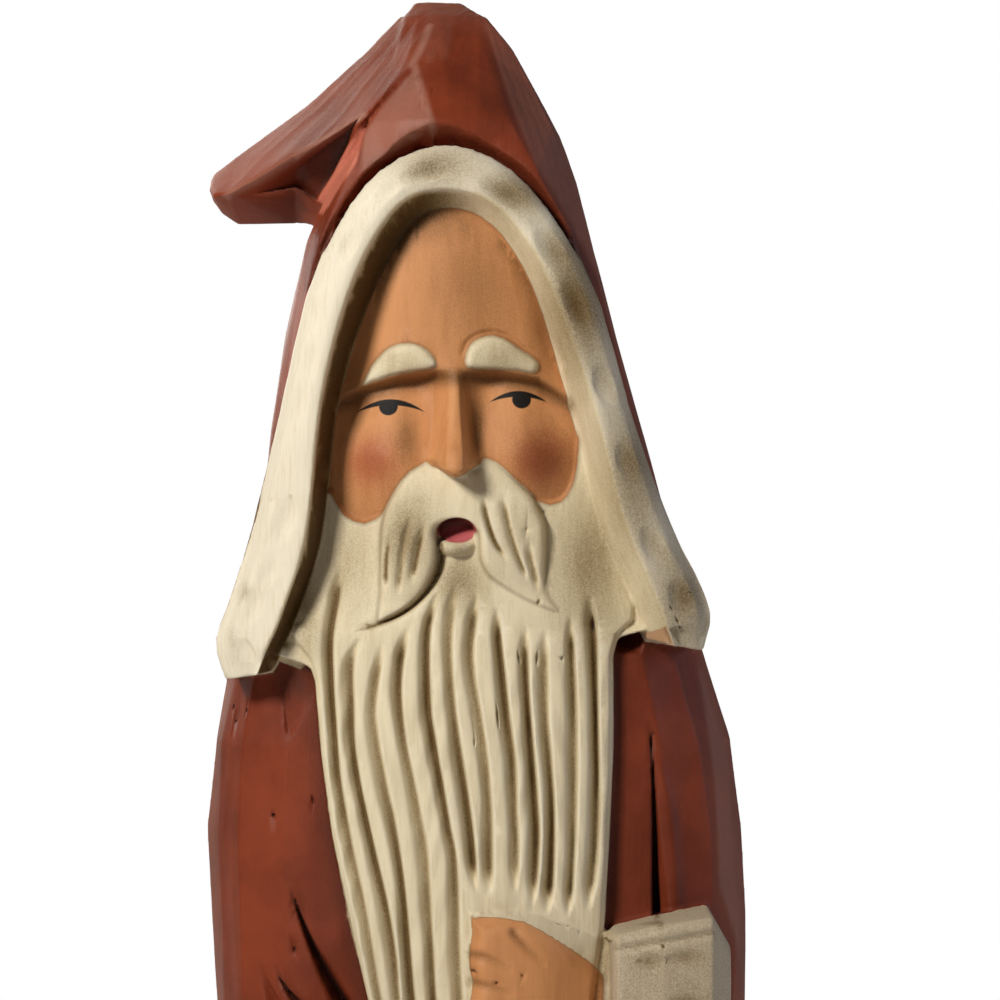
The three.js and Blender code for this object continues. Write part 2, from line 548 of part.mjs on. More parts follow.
// A blunt tube of facets through rows of centre x, y, z and half width and half height of its section.
const LIMB_FACETS = 10;
function limb(stations) {
  return loft(stations.map(([x, y, z, wide, high], i) => {
    const [a, b] = [stations[Math.max(0, i - 1)], stations[Math.min(stations.length - 1, i + 1)]];
    const run = new THREE.Vector3(b[0] - a[0], b[1] - a[1], b[2] - a[2]).normalize();
    const side = new THREE.Vector3(run.y, -run.x, 0).normalize();
    const up = new THREE.Vector3().crossVectors(side, run);
    const ring = [];
    for (let f = 0; f < LIMB_FACETS; f += 1) {
      const turn = ((f + 0.5) * 2 * Math.PI) / LIMB_FACETS;
      const share = 1 + (0.5 * knife(f, i)) / Math.max(wide, high);
      const [s, u] = [Math.cos(turn) * wide * share, Math.sin(turn) * high * share];
      ring.push(at(x + side.x * s + up.x * u, y + side.y * s + up.y * u, z + up.z * u));
    }
    return ring;
  }));
}

// Forearms, from inside the elbow round to the cuff.
const RIGHT_FOREARM = [
  [9, 4, 43, 3.2, 4.6],
  [11.6, -1, 43.6, 3.2, 4.8],
  [11.3, -5.5, 44.3, 3.1, 4.4],
  [9.5, -8.8, 45, 3.0, 3.8],
];
const LEFT_FOREARM = [
  [-9, 4, 39.5, 3.2, 4.8],
  [-11.6, -1, 39.8, 3.2, 5.0],
  [-11.3, -5.5, 39.4, 3.1, 4.5],
  [-9.0, -8.6, 39, 2.9, 3.9],
];

// A fur cuff: square rows from its opening to the sleeve, as x, bottom z, top z, front and back.
const RIGHT_CUFF = [
  [6.85, 41.7, 47.8, 10.8, 8],
  [7.45, 41.0, 48.35, 13.0, 7],
  [10.0, 40.8, 48.9, 13.2, 6],
  [12.6, 41.1, 49.25, 12.9, 5],
  [13.7, 42.0, 47.3, 10.6, 5],
];
const LEFT_CUFF = [
  [-4.6, 35.4, 41.9, 11.0, 8],
  [-5.2, 34.7, 42.5, 13.1, 7],
  [-8.3, 34.6, 42.9, 13.2, 6],
  [-11.6, 35.1, 43.1, 12.4, 5],
  [-13.2, 36.3, 41.8, 9.8, 5],
];
function carveCuff(rows) {
  return loft(rows.map(([x, low, high, front, back]) => {
    const soft = 0.4;
    return [
      at(x, -back, low),
      at(x, -front + soft, low),
      at(x, -front, low + soft),
      at(x, -front, high - soft),
      at(x, -front + soft, high),
      at(x, -back, high),
    ];
  }));
}

// A hand lying on the beard: a palm out of the cuff, and four fingers side by side, one above the other.
const RIGHT_HAND = {
  wrist: 7.6,
  knuckles: 2.4,
  tips: -0.35,
  low: 41.9,
  high: 49,
  wristLow: 42.2,
  wristHigh: 46.9,
  front: 12.0,
  shortBy: [0, 0.25, 0.1, -0.35],
};
const LEFT_HAND = {
  wrist: -4.9,
  knuckles: -0.4,
  tips: 2.6,
  low: 35.3,
  high: 42.2,
  wristLow: 36.2,
  wristHigh: 41.2,
  front: 11.9,
  shortBy: [-0.3, 0, -0.15, 0.4],
};
const HAND_BACK = 9.4;

function carveHand({ wrist, knuckles, tips, low, high, wristLow, wristHigh, front, shortBy }) {
  const block = (rows) => loft(rows.map(([x, bottom, top, face, soft]) => [
    at(x, -HAND_BACK, bottom),
    at(x, -face + soft, bottom),
    at(x, -face, bottom + soft),
    at(x, -face, top - soft),
    at(x, -face + soft, top),
    at(x, -HAND_BACK, top),
  ]));
  const run = tips - knuckles;
  const palm = block([
    [wrist, wristLow, wristHigh, front - 0.5, 0.9],
    [mix(wrist, knuckles, 0.45), low + 0.1, mix(wristHigh, high, 0.65), front, 0.9],
    [mix(wrist, knuckles, 0.85), low, high, front + 0.1, 0.8],
    [knuckles, low, high, front - 0.25, 0.8],
    [knuckles + 0.15 * run, low, high, front - 0.8, 0.8],
  ]);
  const gap = squares(FINGER_GAP) / 2;
  const tall = (high - low) / FINGERS;
  let hand = palm;
  for (let f = 0; f < FINGERS; f += 1) {
    const [bottom, top] = [high - (f + 1) * tall, high - f * tall];
    const end = tips - shortBy[f];
    const soft = Math.min(0.55, tall / 3);
    hand = hand.add(block([
      [knuckles - 0.35 * run, bottom, top, front - 0.35, soft],
      [knuckles + 0.3 * run, bottom - gap * 0.1, top + gap * 0.1, front + 0.1, soft],
      [mix(knuckles, end, 0.86), bottom, top, front - 0.35, soft],
      [end, bottom + 0.4, top - 0.4, front - 0.9, soft * 0.6],
    ]));
  }
  return hand;
}

// The fur hem: a fat band that follows the robe.
function carveHem() {
  const tall = squares(HEM_HEIGHT);
  const proud = squares(HEM_PROUD);
  const rows = [[-0.1, 0.55], [0.14, 0.95], [0.45, 1], [0.78, 1], [0.95, 0.7], [1, -0.4]];
  return loft(rows.map(([share, out], j) => {
    const z = Math.max(share * tall, squares(-0.4 * BASE_HEIGHT));
    return robeSection(Math.max(z, 0), proud * out).map(([x, y], i) => {
      const wave = share > 0.6 ? 0.16 * Math.sin(i * 1.9) : 0;
      const pull = 1 + (0.8 * knife(i, j + 3)) / Math.hypot(x, y);
      return at(x * pull, y * pull, z + wave);
    });
  }));
}

// The low base: a slab with knife-cut corners and a bevel round its top.
const BASE_FACETS = 26;
const BASE_SQUARENESS = 3.2;
function carveBase() {
  const ring = (inset, z) => {
    const points = [];
    for (let i = 0; i < BASE_FACETS; i += 1) {
      const turn = (i * 2 * Math.PI) / BASE_FACETS;
      const [c, s] = [Math.cos(turn), Math.sin(turn)];
      const total = Math.abs(c) ** BASE_SQUARENESS + Math.abs(s) ** BASE_SQUARENESS;
      const reach = total ** (-1 / BASE_SQUARENESS);
      const [halfWidth, halfDepth] = [BASE_WIDTH / 2 - inset, BASE_DEPTH / 2 - inset];
      points.push(new THREE.Vector3(c * reach * halfWidth, s * reach * halfDepth, z));
    }
    return points;
  };
  return loft([ring(0, 0), ring(0, BASE_HEIGHT - BASE_BEVEL), ring(BASE_BEVEL, BASE_HEIGHT)]);
}

// Puts the carving together: robe with its cuts, hood with its hollow, then what is laid over them.
function carveFigure() {
  let robe = carveRobe();
  for (const cut of [...ARM_CUTS, ...ROBE_FOLDS]) robe = robe.subtract(foldCut(cut));
  const tip = loft(TIP_RINGS.map((ring) => ring.map(([x, y, z]) => at(x, y, z))));
  const hood = carveHood().add(tip).subtract(trimGroove()).subtract(faceHollow());
  const face = carveFace().add(carveBrow(LEFT_BROW)).add(carveBrow(RIGHT_BROW));
  const hair = carveBeard().add(carveMoustache(MOUSTACHE_LEFT)).add(carveMoustache(MOUSTACHE_RIGHT));
  const head = hood.add(carveTrim()).add(face).add(hair).subtract(mouthHollow()).add(carveLip());
  const arms = limb(RIGHT_FOREARM).add(limb(LEFT_FOREARM))
    .add(carveCuff(RIGHT_CUFF)).add(carveCuff(LEFT_CUFF))
    .add(carveHand(RIGHT_HAND)).add(carveHand(LEFT_HAND));
  return robe.add(head).add(arms).add(carveHem()).add(carveBase());
}

function meshOf(name, made, material) {
  const { vertProperties, triVerts } = made.getMesh();
  const geometry = new THREE.BufferGeometry();
  geometry.setAttribute('position', new THREE.BufferAttribute(new Float32Array(vertProperties), 3));
  geometry.setIndex(new THREE.BufferAttribute(new Uint32Array(triVerts), 1));
  const mesh = new THREE.Mesh(geometry.toNonIndexed(), material);
  mesh.geometry.computeVertexNormals();
  mesh.name = name;
  return mesh;
}

const paintedWood = new THREE.MeshStandardMaterial({ color: 0x7d3424, roughness: 0.62, metalness: 0 });
const figure = new THREE.Group();
figure.add(meshOf('carved_santa_figure', carveFigure(), paintedWood));

export default figure;
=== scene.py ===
# A carved and painted santa figure: the finely carved and painted surface of the one solid in the frame.
import math

import bmesh
import bpy
import numpy as np
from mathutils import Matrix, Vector
from mathutils.kdtree import KDTree


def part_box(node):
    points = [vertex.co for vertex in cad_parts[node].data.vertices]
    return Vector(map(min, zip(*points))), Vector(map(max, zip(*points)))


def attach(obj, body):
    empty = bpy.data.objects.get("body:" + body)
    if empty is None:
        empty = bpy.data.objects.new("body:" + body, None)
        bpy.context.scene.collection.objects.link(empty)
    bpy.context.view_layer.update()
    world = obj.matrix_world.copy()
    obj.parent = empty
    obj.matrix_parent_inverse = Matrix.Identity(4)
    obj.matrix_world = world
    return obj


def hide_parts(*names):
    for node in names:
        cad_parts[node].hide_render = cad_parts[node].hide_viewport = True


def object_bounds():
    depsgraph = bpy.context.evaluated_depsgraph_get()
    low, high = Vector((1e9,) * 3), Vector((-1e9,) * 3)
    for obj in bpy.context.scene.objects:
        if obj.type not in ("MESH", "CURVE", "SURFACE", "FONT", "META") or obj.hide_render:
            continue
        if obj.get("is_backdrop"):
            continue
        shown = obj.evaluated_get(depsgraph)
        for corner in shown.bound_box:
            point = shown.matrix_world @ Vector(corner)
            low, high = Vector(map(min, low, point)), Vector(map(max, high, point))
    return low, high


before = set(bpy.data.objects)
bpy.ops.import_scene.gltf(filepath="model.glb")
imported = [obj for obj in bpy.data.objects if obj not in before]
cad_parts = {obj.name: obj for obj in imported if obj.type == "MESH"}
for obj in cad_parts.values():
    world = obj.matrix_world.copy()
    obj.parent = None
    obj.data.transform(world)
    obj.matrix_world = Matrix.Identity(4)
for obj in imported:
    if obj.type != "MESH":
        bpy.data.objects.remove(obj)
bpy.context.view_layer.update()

# The carving is laid out on a carver's pattern grid, as in the solid: the figure is 100 squares tall above
# its base, x runs to the viewer's right, z up from the base's top and f forward, towards the viewer. Sizes
# are in these squares where nothing else is said.
FIGURE = "carved_santa_figure"
BASE_HEIGHT = 0.012
SQUARE = (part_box(FIGURE)[1].z - BASE_HEIGHT) / 100
MM = 0.001 / SQUARE  # one millimetre, in squares

# Fineness of the carved surface: the voxels that join its parts, in metres, and the steps of its relief.
VOXEL = 0.00046
RELIEF_STEP = 0.1
MOST_TRIANGLES = 196_000


def linear(code):
    """Linear colour of an sRGB hex value."""
    parts = [int(code[i : i + 2], 16) / 255 for i in (1, 3, 5)]
    return [c / 12.92 if c <= 0.04045 else ((c + 0.055) / 1.055) ** 2.4 for c in parts] + [1]


def add(tree, kind, inputs=None, out=0, **settings):
    """Adds a node with its settings and its inputs, values or sockets, and returns one of its outputs."""
    made = tree.nodes.new(kind)
    for name, value in settings.items():
        setattr(made, name, value)
    for name, value in (inputs or {}).items():
        if isinstance(value, bpy.types.NodeSocket):
            tree.links.new(value, made.inputs[name])
        else:
            made.inputs[name].default_value = value
    return made.outputs[out] if made.outputs else None


def ease(t):
    """Softly from 0 to 1, as t goes from 0 to 1."""
    t = np.clip(t, 0.0, 1.0)
    return t * t * (3 - 2 * t)


def hill(distance, reach):
    """A soft round hill: 1 in its middle, and about a third at its reach."""
    return np.exp(-((distance / reach) ** 2))


def mix(a, b, t):
    """From a at t = 0 to b at t = 1, and on past both."""
    return a + (b - a) * t


def along(stations, t):
    """Value at t of a profile given as (t, value) stations, on straight lines between them."""
    ordered = sorted(stations)
    return np.interp(t, [s[0] for s in ordered], [s[1] for s in ordered])


def smooth_rows(stations, count):
    """A smooth curve through stations of any number of columns, resampled to count rows."""
    points = np.array(stations, float)
    before, after = 2 * points[0] - points[1], 2 * points[-1] - points[-2]
    points = np.vstack([before, points, after])
    rows = []
    for t in np.linspace(0, len(stations) - 1, count):
        i = min(int(t), len(stations) - 2)
        s = t - i
        a, b, c, d = points[i : i + 4]
        rows.append(
            0.5 * (2 * b + (c - a) * s + (2 * a - 5 * b + 4 * c - d) * s**2 + (3 * b - a - 3 * c + d) * s**3)
        )
    return np.array(rows)


def flowing(stations, t):
    """Value at t of a profile given as stations, on a smooth curve through them."""
    return along([tuple(row) for row in smooth_rows(stations, 60)], t)


def inside_distance(outline, x, z, reach=3.0):
    """Distance from each x, z to a closed outline, over 0 inside it. Past reach outside it is just -reach."""
    outline = np.asarray(outline, float)
    found = np.full(x.shape, -reach)
    low, high = outline.min(0) - reach, outline.max(0) + reach
    near = (x > low[0]) & (x < high[0]) & (z > low[1]) & (z < high[1])
    px, pz = x[near], z[near]
    best = np.full(px.shape, 1e9)
    crossed = np.zeros(px.shape, bool)
    for (ax, az), (bx, bz) in zip(outline, np.roll(outline, -1, axis=0)):
        dx, dz = bx - ax, bz - az
        share = np.clip(((px - ax) * dx + (pz - az) * dz) / (dx * dx + dz * dz + 1e-12), 0, 1)
        best = np.minimum(best, (px - ax - share * dx) ** 2 + (pz - az - share * dz) ** 2)
        if dz != 0:
            crossed ^= ((az > pz) != (bz > pz)) & (px < ax + dx * (pz - az) / dz)
    best = np.sqrt(best)
    found[near] = np.maximum(np.where(crossed, best, -best), -reach)
    return found


def path_distance(path, x, z, reach=2.0):
    """Distance from each x, z to an open path, and the share of the path where it is nearest."""
    path = np.asarray(path, float)
    run = np.concatenate([[0], np.cumsum(np.hypot(*np.diff(path, axis=0).T))])
    distance, share = np.full(x.shape, reach), np.zeros(x.shape)
    low, high = path.min(0) - reach, path.max(0) + reach
    near = (x > low[0]) & (x < high[0]) & (z > low[1]) & (z < high[1])
    px, pz = x[near], z[near]
    best, where = np.full(px.shape, reach), np.zeros(px.shape)
    for i in range(len(path) - 1):
        (ax, az), (bx, bz) = path[i], path[i + 1]
        dx, dz = bx - ax, bz - az
        s = np.clip(((px - ax) * dx + (pz - az) * dz) / (dx * dx + dz * dz), 0, 1)
        d = np.hypot(px - ax - s * dx, pz - az - s * dz)
        closer = d < best
        best[closer] = d[closer]
        where[closer] = ((run[i] + s * (run[i + 1] - run[i])) / run[-1])[closer]
    distance[near], share[near] = best, where
    return distance, share


def inside_curve(outline, rows, x, z, reach):
    """Distance to a smooth closed curve through an outline's points, over 0 inside it."""
    return inside_distance(smooth_rows([*outline, outline[0]], rows), x, z, reach)


def curve_distance(path, rows, x, z):
    """Distance to a smooth open curve through a path's points, and the share of it where it is nearest."""
    return path_distance(smooth_rows(path, rows), x, z)


# Each row of the fur trim, as in the solid: outer edge x and z, inner edge x and z, front of the outer and of
# the inner edge, and how far the inner wall slopes in towards the face.
TRIM_STATIONS = [[-13.9, 61.7, -12.1, 62, 8.6, 9.6, 0.7], [-14.35, 63.7, -11.6, 63.3, 8.7, 9.8, 0.8],
                 [-13.55, 66.1, -10.7, 65.4, 9, 10, 0.8], [-12.2, 70.4, -9.35, 69.8, 9.3, 10.1, 0.8],
                 [-10.6, 77.3, -8.55, 77, 9.8, 10.2, 0.85], [-8.9, 84.1, -6.95, 83.2, 9.9, 10.2, 1.2],
                 [-5.9, 89.2, -4.5, 87.5, 9.9, 10.1, 1.45], [-1.8, 91.05, -1.8, 88.5, 9.9, 10, 1.55],
                 [2.4, 89.2, 1, 87.55, 9.9, 10.1, 1.35], [6.1, 83.65, 3.6, 84, 9.9, 10.2, 1.1],
                 [8.25, 76.5, 6.2, 76.9, 9.8, 10.2, 1.15], [10.35, 70.5, 7.8, 70.9, 9.4, 10.1, 1.4],
                 [11.95, 67.2, 9.3, 67.2, 9.2, 10, 1.5], [12.65, 65.2, 10.1, 65.2, 9, 9.9, 1.55],
                 [12.35, 63.3, 10.7, 63.6, 8.8, 9.7, 1.5]]
TRIM_ROWS = smooth_rows(TRIM_STATIONS, 58)
TRIM_FRONT = [(61.5, 8.6), (66.0, 9.0), (70.4, 9.3), (77.0, 9.8), (84.0, 9.9), (91.0, 9.9)]  # by height


def trim_share(x, z):
    """Over 0 on the trim and its inner wall, in squares from their edge."""
    outer, inner, splay = TRIM_ROWS[:, 0:2], TRIM_ROWS[:, 2:4], TRIM_ROWS[:, 6:7]
    inwards = (inner - outer) / np.linalg.norm(inner - outer, axis=1, keepdims=True)
    return inside_distance(np.vstack([outer, (inner + inwards * splay)[::-1]]), x, z)


WALL_FOOT = 7.0  # the trim's inner wall meets the face here, by f
WALL_END = 62.5  # and above this height it stands before the face and beard


def trim_wall(x, z):
    """Front of the trim's inner wall, that slopes down from its inner edge to the face."""
    gap, share = path_distance(TRIM_ROWS[:, 2:4], x, z, 4.0)
    at = share * (len(TRIM_ROWS) - 1)
    rows = np.arange(len(TRIM_ROWS))
    crest, splay = np.interp(at, rows, TRIM_ROWS[:, 5]), np.interp(at, rows, TRIM_ROWS[:, 6])
    return crest - gap * (crest - WALL_FOOT) / splay


# Edges of the beard by height, where it meets the trim's wall or the robe.
BEARD_LEFT = [(73, -8.9), (71.6, -8.8), (68.2, -9.2), (65.8, -10), (64.6, -10.7), (63.9, -10.2),
              (62.9, -9.35), (61.6, -8.95), (57.6, -8.6), (53.2, -8), (50, -7.3), (47.2, -6.7),
              (42.9, -5.7), (38, -4.4), (34, -2.9), (31.2, -1.3)]
BEARD_RIGHT = [(73, 6.7), (71.6, 6.9), (69.3, 7.6), (65.8, 8.7), (65, 8.6), (64.2, 7.7), (63, 7.4),
               (58, 7.4), (53.5, 7.2), (48.5, 6.9), (43, 6.1), (38, 4.6), (34, 2.6), (31.2, 0.7)]
BEARD_MIDDLE = [(73, 8.3), (68, 8.9), (62, 9.9), (54, 10.5), (46, 10.8), (38, 10.7), (31.2, 10.2)]
BEARD_EDGE = [(73, 7.2), (68, 7.4), (65, 8), (63, 8.7), (54, 9.1), (44, 9.6), (31.2, 9.7)]
BEARD_TOP, BEARD_TIP, FACE_TOP = 73.0, 31.2, 88.42
FACE_MIDDLE = -1.2
BROW_LINE = [(-8.2, 77.2), (-6.75, 77.8), (-4.3, 78.5), (-2.3, 78.8), (-0.4, 78.8), (1.2, 78.75),
             (3.3, 78.4), (4.8, 77.4), (6, 76.8)]
# Lower edge of the skin, from the left temple under both cheeks to the right one, as x and height.
SKIN_FOOT = [(-9.2, 72.6), (-8.1, 71.85), (-7.5, 70.8), (-6.9, 70.4), (-6.25, 70.25), (-5.65, 70.5),
             (-5.2, 70.8), (3.3, 71.5), (3.9, 71.3), (4.5, 71.45), (4.9, 71.8), (5.2, 72.4), (5.42, 73.3),
             (5.6, 75.4), (5.75, 78)]

# Outlines of the brows.
LEFT_BROW = [(-6.35, 77.9), (-5.85, 78.9), (-5.1, 79.75), (-4.3, 80.1), (-3.45, 80.1), (-2.75, 79.7),
             (-2.3, 79.05), (-2.65, 78.75), (-3.5, 78.65), (-4.6, 78.45), (-5.4, 78.2)]
RIGHT_BROW = [(-0.65, 79.55), (-0.4, 80.1), (0.15, 80.45), (0.8, 80.55), (1.5, 80.35), (2.3, 79.8),
              (3.2, 79.2), (3.3, 78.8), (2.95, 78.55), (2, 78.7), (0.65, 78.75), (-0.45, 78.8),
              (-0.7, 79.1)]
BROW_RISE, BROW_ROUND = 0.38, 0.55  # height of a brow over its shelf, and width of its rounded edge

# The nose: where it begins, how far down and out its ridge runs, its underside, tip and wings.
NOSE = {"top": 78.9, "length": 5.6, "rise": 2.2, "bottom": 72.72, "tip": 73.85, "wings": 1.1}
# The skull: its front at the sides, how much further its middle stands forward, its half width and its top.
SKULL = {"side": 6.85, "rise": 1.75, "half_width": 7.0, "top": 89}
SOCKET_DEPTH = 0.95  # how far the eye hollows lie behind the brow shelf
# Soft forms on it: x and z of the middle, how fast each falls off sideways and upwards, reach and height.
FACE_FORMS = [
    (-3.35, 77.85, 1 / 1.3, 1, 0.65, -0.28),  # hollows at the eyes' inner corners
    (0.6, 77.95, 1 / 1.3, 1, 0.65, -0.28),
    (-5.2, 73.9, 1, 0.85, 2.5, 0.95),  # cheeks
    (3.1, 74.2, 1, 0.85, 2.5, 0.95),
    (-4.9, 76.3, 1, 1.4, 1.5, 0.3),  # eyes
    (2.4, 76.6, 1, 1.4, 1.5, 0.3),
]

# The mouth's hollow, with its floor and the tongue's height over it, and the lower lip.
MOUTH = {"x": -1.18, "z": 69.95, "half_width": 1.1, "half_height": 0.72, "floor": 8.1, "tongue": 0.75}
LIP = {"low": 68.45, "high": 69.3, "half_width": 0.92, "front": 8.75}

# Outline of the moustache: down the left lobe to its tip, up to the mouth, and round the right lobe.
MOUSTACHE = [(-2.65, 73.7), (-3.6, 73.2), (-4.15, 72.65), (-4.55, 72.1), (-4.9, 71.5), (-5.2, 70.8),
             (-5.35, 69.9), (-5.4, 68.3), (-5.4, 66.6), (-5.5, 64.95), (-4.8, 65.25), (-4.2, 65.6),
             (-3.55, 66.1), (-2.9, 66.8), (-2.45, 67.6), (-2.25, 68.3), (-2.2, 69.1), (-2.2, 70),
             (-1.2, 70.3), (-0.15, 69.9), (0, 69.2), (0.1, 68.3), (0.5, 67.5), (1.2, 66.95), (2.25, 66.35),
             (3.3, 65.85), (4.35, 65.5), (3.8, 66.3), (3.7, 67.2), (3.75, 68.4), (3.75, 70.1), (3.4, 71),
             (3.05, 71.7), (2.5, 72.25), (1.9, 72.8), (1.35, 73.3), (0.8, 73.7), (0.35, 73.8),
             (-0.2, 73.6), (-1.2, 73.5), (-2.2, 73.6)]
MOUSTACHE_FRONT = [(64.8, 9), (66, 9.3), (68, 9.55), (70, 9.6), (71.5, 9.45), (72.6, 9.15), (73.8, 8.8)]
MOUSTACHE_ROUND = 0.5  # width of its rounded edge
# The knife cut that frees the left lobe from the beard, from the mouth's corner to past its tip.
LOBE_UNDERCUT = [(-2.1, 70), (-2, 69), (-2.05, 68.2), (-2.3, 67.4), (-2.8, 66.6), (-3.5, 65.85),
                 (-4.3, 65.3), (-5.3, 64.85), (-6.1, 64.6)]
UNDERCUT_DEPTH = 0.75

# V cuts between the strands of the moustache and of the beard, as (height, x) from their start to their end.
MOUSTACHE_CUTS = [
    [(70.1, -4.75), (68.3, -5), (66.5, -5.05)],
    [(70.9, -3.6), (69.2, -4), (67.4, -4.25), (66.3, -4.35)],
    [(70.5, -2.9), (69, -3.2), (67.6, -3.5), (66.9, -3.65)],
    [(72.1, 0.25), (70.8, 0.45), (69.5, 0.85), (68.6, 1.35), (68.1, 1.7)],
    [(72.1, 1.3), (70.5, 1.6), (69, 2), (67.7, 2.5), (67, 2.75)],
    [(69.6, 2.8), (68.5, 2.85), (67.2, 3.15), (66.4, 3.3)],
]
BEARD_CUTS = [
    [(68.3, -7.4), (66.1, -7.75), (64, -8.05), (61.5, -8), (58.5, -7.8), (56.2, -7.6), (52.8, -7),
     (49.4, -6.25), (46.8, -5.8), (44, -5.3), (39.5, -4.1), (35.5, -2.7), (32.3, -1.1)],
    [(64.4, -6.2), (62.8, -6.9), (60.2, -6.9), (58.5, -6.85), (56.6, -6.6), (54.2, -6.1), (52, -5.6),
     (49.4, -5), (46.6, -4.55), (44, -4.3), (40, -3.4), (35.8, -2.2), (32.5, -0.9)],
    [(64, -5.2), (62.8, -5.35), (60.4, -5.7), (58.8, -5.6), (55.8, -5.05), (54.1, -4.65), (50.7, -4.1),
     (46.6, -3.75), (44, -3.5), (40, -2.75), (36, -1.7), (32.6, -0.65)],
    [(64.9, -3.7), (63.4, -4.1), (61.2, -4.3), (58.6, -4.05), (56.6, -3.65), (54.6, -3.25), (52.6, -2.9),
     (49.8, -2.7), (46.6, -2.5), (44, -2.35), (40, -1.9), (36, -1.15), (32.6, -0.4)],
    [(66.8, -2.1), (65.8, -2.4), (64, -2.75), (60.4, -2.7), (58.3, -2.4), (56.1, -2), (53.8, -1.6),
     (51.7, -1.25), (46.9, -1.1), (44, -0.95), (40, -0.8), (36, -0.5), (32.6, -0.1)],
    [(67.3, -1.1), (66, -1.35), (64, -1.55), (62.1, -1.5), (59.9, -1.3), (57.7, -1), (55.5, -0.65),
     (53.2, -0.35), (50.2, -0.1)],
    [(66.8, 0), (65.2, -0.2), (63.4, -0.4), (61.9, -0.3), (59.9, 0.05), (57.6, 0.4), (55.3, 0.6),
     (53.1, 0.65), (49.9, 0.65)],
    [(66, 1.05), (64, 1.15), (62.1, 1.35), (59.6, 1.6), (57.3, 1.9), (54.7, 2), (52.6, 2.1), (50, 2)],
    [(64.9, 2.65), (63.2, 2.6), (60.7, 2.7), (58, 2.9), (55.3, 3.1), (53.1, 3.2), (50.4, 3.05), (49.3, 2.9)],
    [(64.7, 3.7), (62.3, 3.65), (59.6, 3.7), (57.2, 3.9), (54.5, 4.05), (51.5, 4), (49.7, 3.85),
     (48.9, 3.7)],
    [(65.5, 5.05), (62.9, 5.15), (59.6, 5.25), (55.3, 5.25), (52, 5.15), (49.8, 5), (48.7, 4.8)],
    [(66.7, 6.1), (64, 6.35), (59.6, 6.45), (55.8, 6.5), (52.6, 6.4), (49.8, 6.1), (49, 5.9)],
    [(41, 3.9), (37.5, 3.1), (34, 1.6), (32.6, 0.4)],
    [(40, 2.5), (36.5, 1.8), (33, 0.5)],
    [(39, 1.1), (36, 0.8), (32.6, 0.15)],
]
# Depth of a cut, width of its gentle wall on the left and of its steep wall on the right, and how far it
# takes to open at its start and to close at its end.
BEARD_CUT = (0.62, 0.7, 0.28, 2.0, 1.8)
MOUSTACHE_CUT = (0.3, 0.46, 0.24, 1.2, 0.9)


def v_cuts(cuts, x, z, depth, gentle, steep, opening, closing):
    """How deep the deepest of several V cuts is at each x, z."""
    deepest = np.zeros(x.shape)
    for number, stations in enumerate(cuts):
        fine = smooth_rows(stations, 6 * len(stations))
        ordered = fine[np.argsort(fine[:, 0])]
        middle = np.interp(z, ordered[:, 0], ordered[:, 1])
        start, end = stations[0][0], stations[-1][0]
        open_here = ease((start - z) / opening) * ease((z - end) / closing)
        wide = np.where(x < middle, gentle, steep) * (0.94 + 0.1 * np.sin(number * 2.3 + z * 0.5))
        across = np.clip(np.abs(x - middle) / (wide * mix(0.55, 1.0, open_here)), 0, 1)
        deep = depth * (0.94 + 0.12 * np.sin(number * 1.7 + z * 0.23))
        deepest = np.maximum(deepest, deep * open_here * (0.5 + 0.5 * np.cos(np.pi * across)))
    return deepest


def skin_share(x, z):
    """Over 0 on the skin of the face, in squares from its lower edge."""
    outline = [*SKIN_FOOT, (5.9, 89.0), (-9.2, 89.0)]
    return inside_distance(outline, x, z)


def nose_front(off, z):
    """How far the nose stands out of the face: a ridge that widens downwards, its tip and its wings."""
    down = np.clip((NOSE["top"] - z) / NOSE["length"], 0, 1)
    ridge = off + mix(0.2, 0.05, down)
    flat = mix(0.25, 0.46, down)
    flank = np.where(ridge < 0, mix(0.7, 0.95, down), mix(0.5, 0.85, down))
    profile = 1 - np.clip((np.abs(ridge) - flat) / flank, 0, 1)
    profile = profile**1.25 * mix(1.0, 0.93, np.clip(np.abs(ridge) / 1.2, 0, 1))
    bottom = NOSE["bottom"] + 0.85 * (np.abs(ridge) / 1.35) ** 1.5
    over_bottom = ease((z - bottom) / 0.3)
    nose = (0.12 + NOSE["rise"] * down) * profile * ease((80.8 - z) / 2.6) * over_bottom
    tip = 0.42 * hill(np.hypot(ridge, (z - NOSE["tip"]) * 1.1), 0.95) * over_bottom
    wings = 0.42 * hill(np.hypot(np.abs(ridge) - NOSE["wings"], (z - NOSE["tip"] + 0.1) * 0.9), 0.45)
    return nose + tip + wings


def face_front(x, z):
    """How far the face stands forward: forehead, brow shelf, eye hollows, cheeks and nose."""
    off = x - FACE_MIDDLE
    skull = 1 - (off / SKULL["half_width"]) ** 2
    skull = SKULL["side"] + SKULL["rise"] * skull * mix(0.75, 1, ease((SKULL["top"] - z) / 6))
    temple = 0.25 * np.maximum(0, np.abs(off) - along([(78, 4.4), (88, 2.0)], z)) * ease((z - 76) / 3)
    between_temples = ease((x + 8.3) / 1.9) * ease((5.7 - x) / 2.2)
    under_brow = ease((along(BROW_LINE, x) - z) / 0.6) * mix(0.15, 1, between_temples)
    socket = SOCKET_DEPTH * under_brow * (1 - 0.8 * ease((77 - z) / 3.2)) * (1 - 0.92 * hill(off, 0.9))
    forms = sum(height * hill(np.hypot((x - at_x) * sideways, (z - at_z) * upwards), reach)
                for at_x, at_z, sideways, upwards, reach, height in FACE_FORMS)
    return skull - temple - socket + forms + nose_front(off, z)


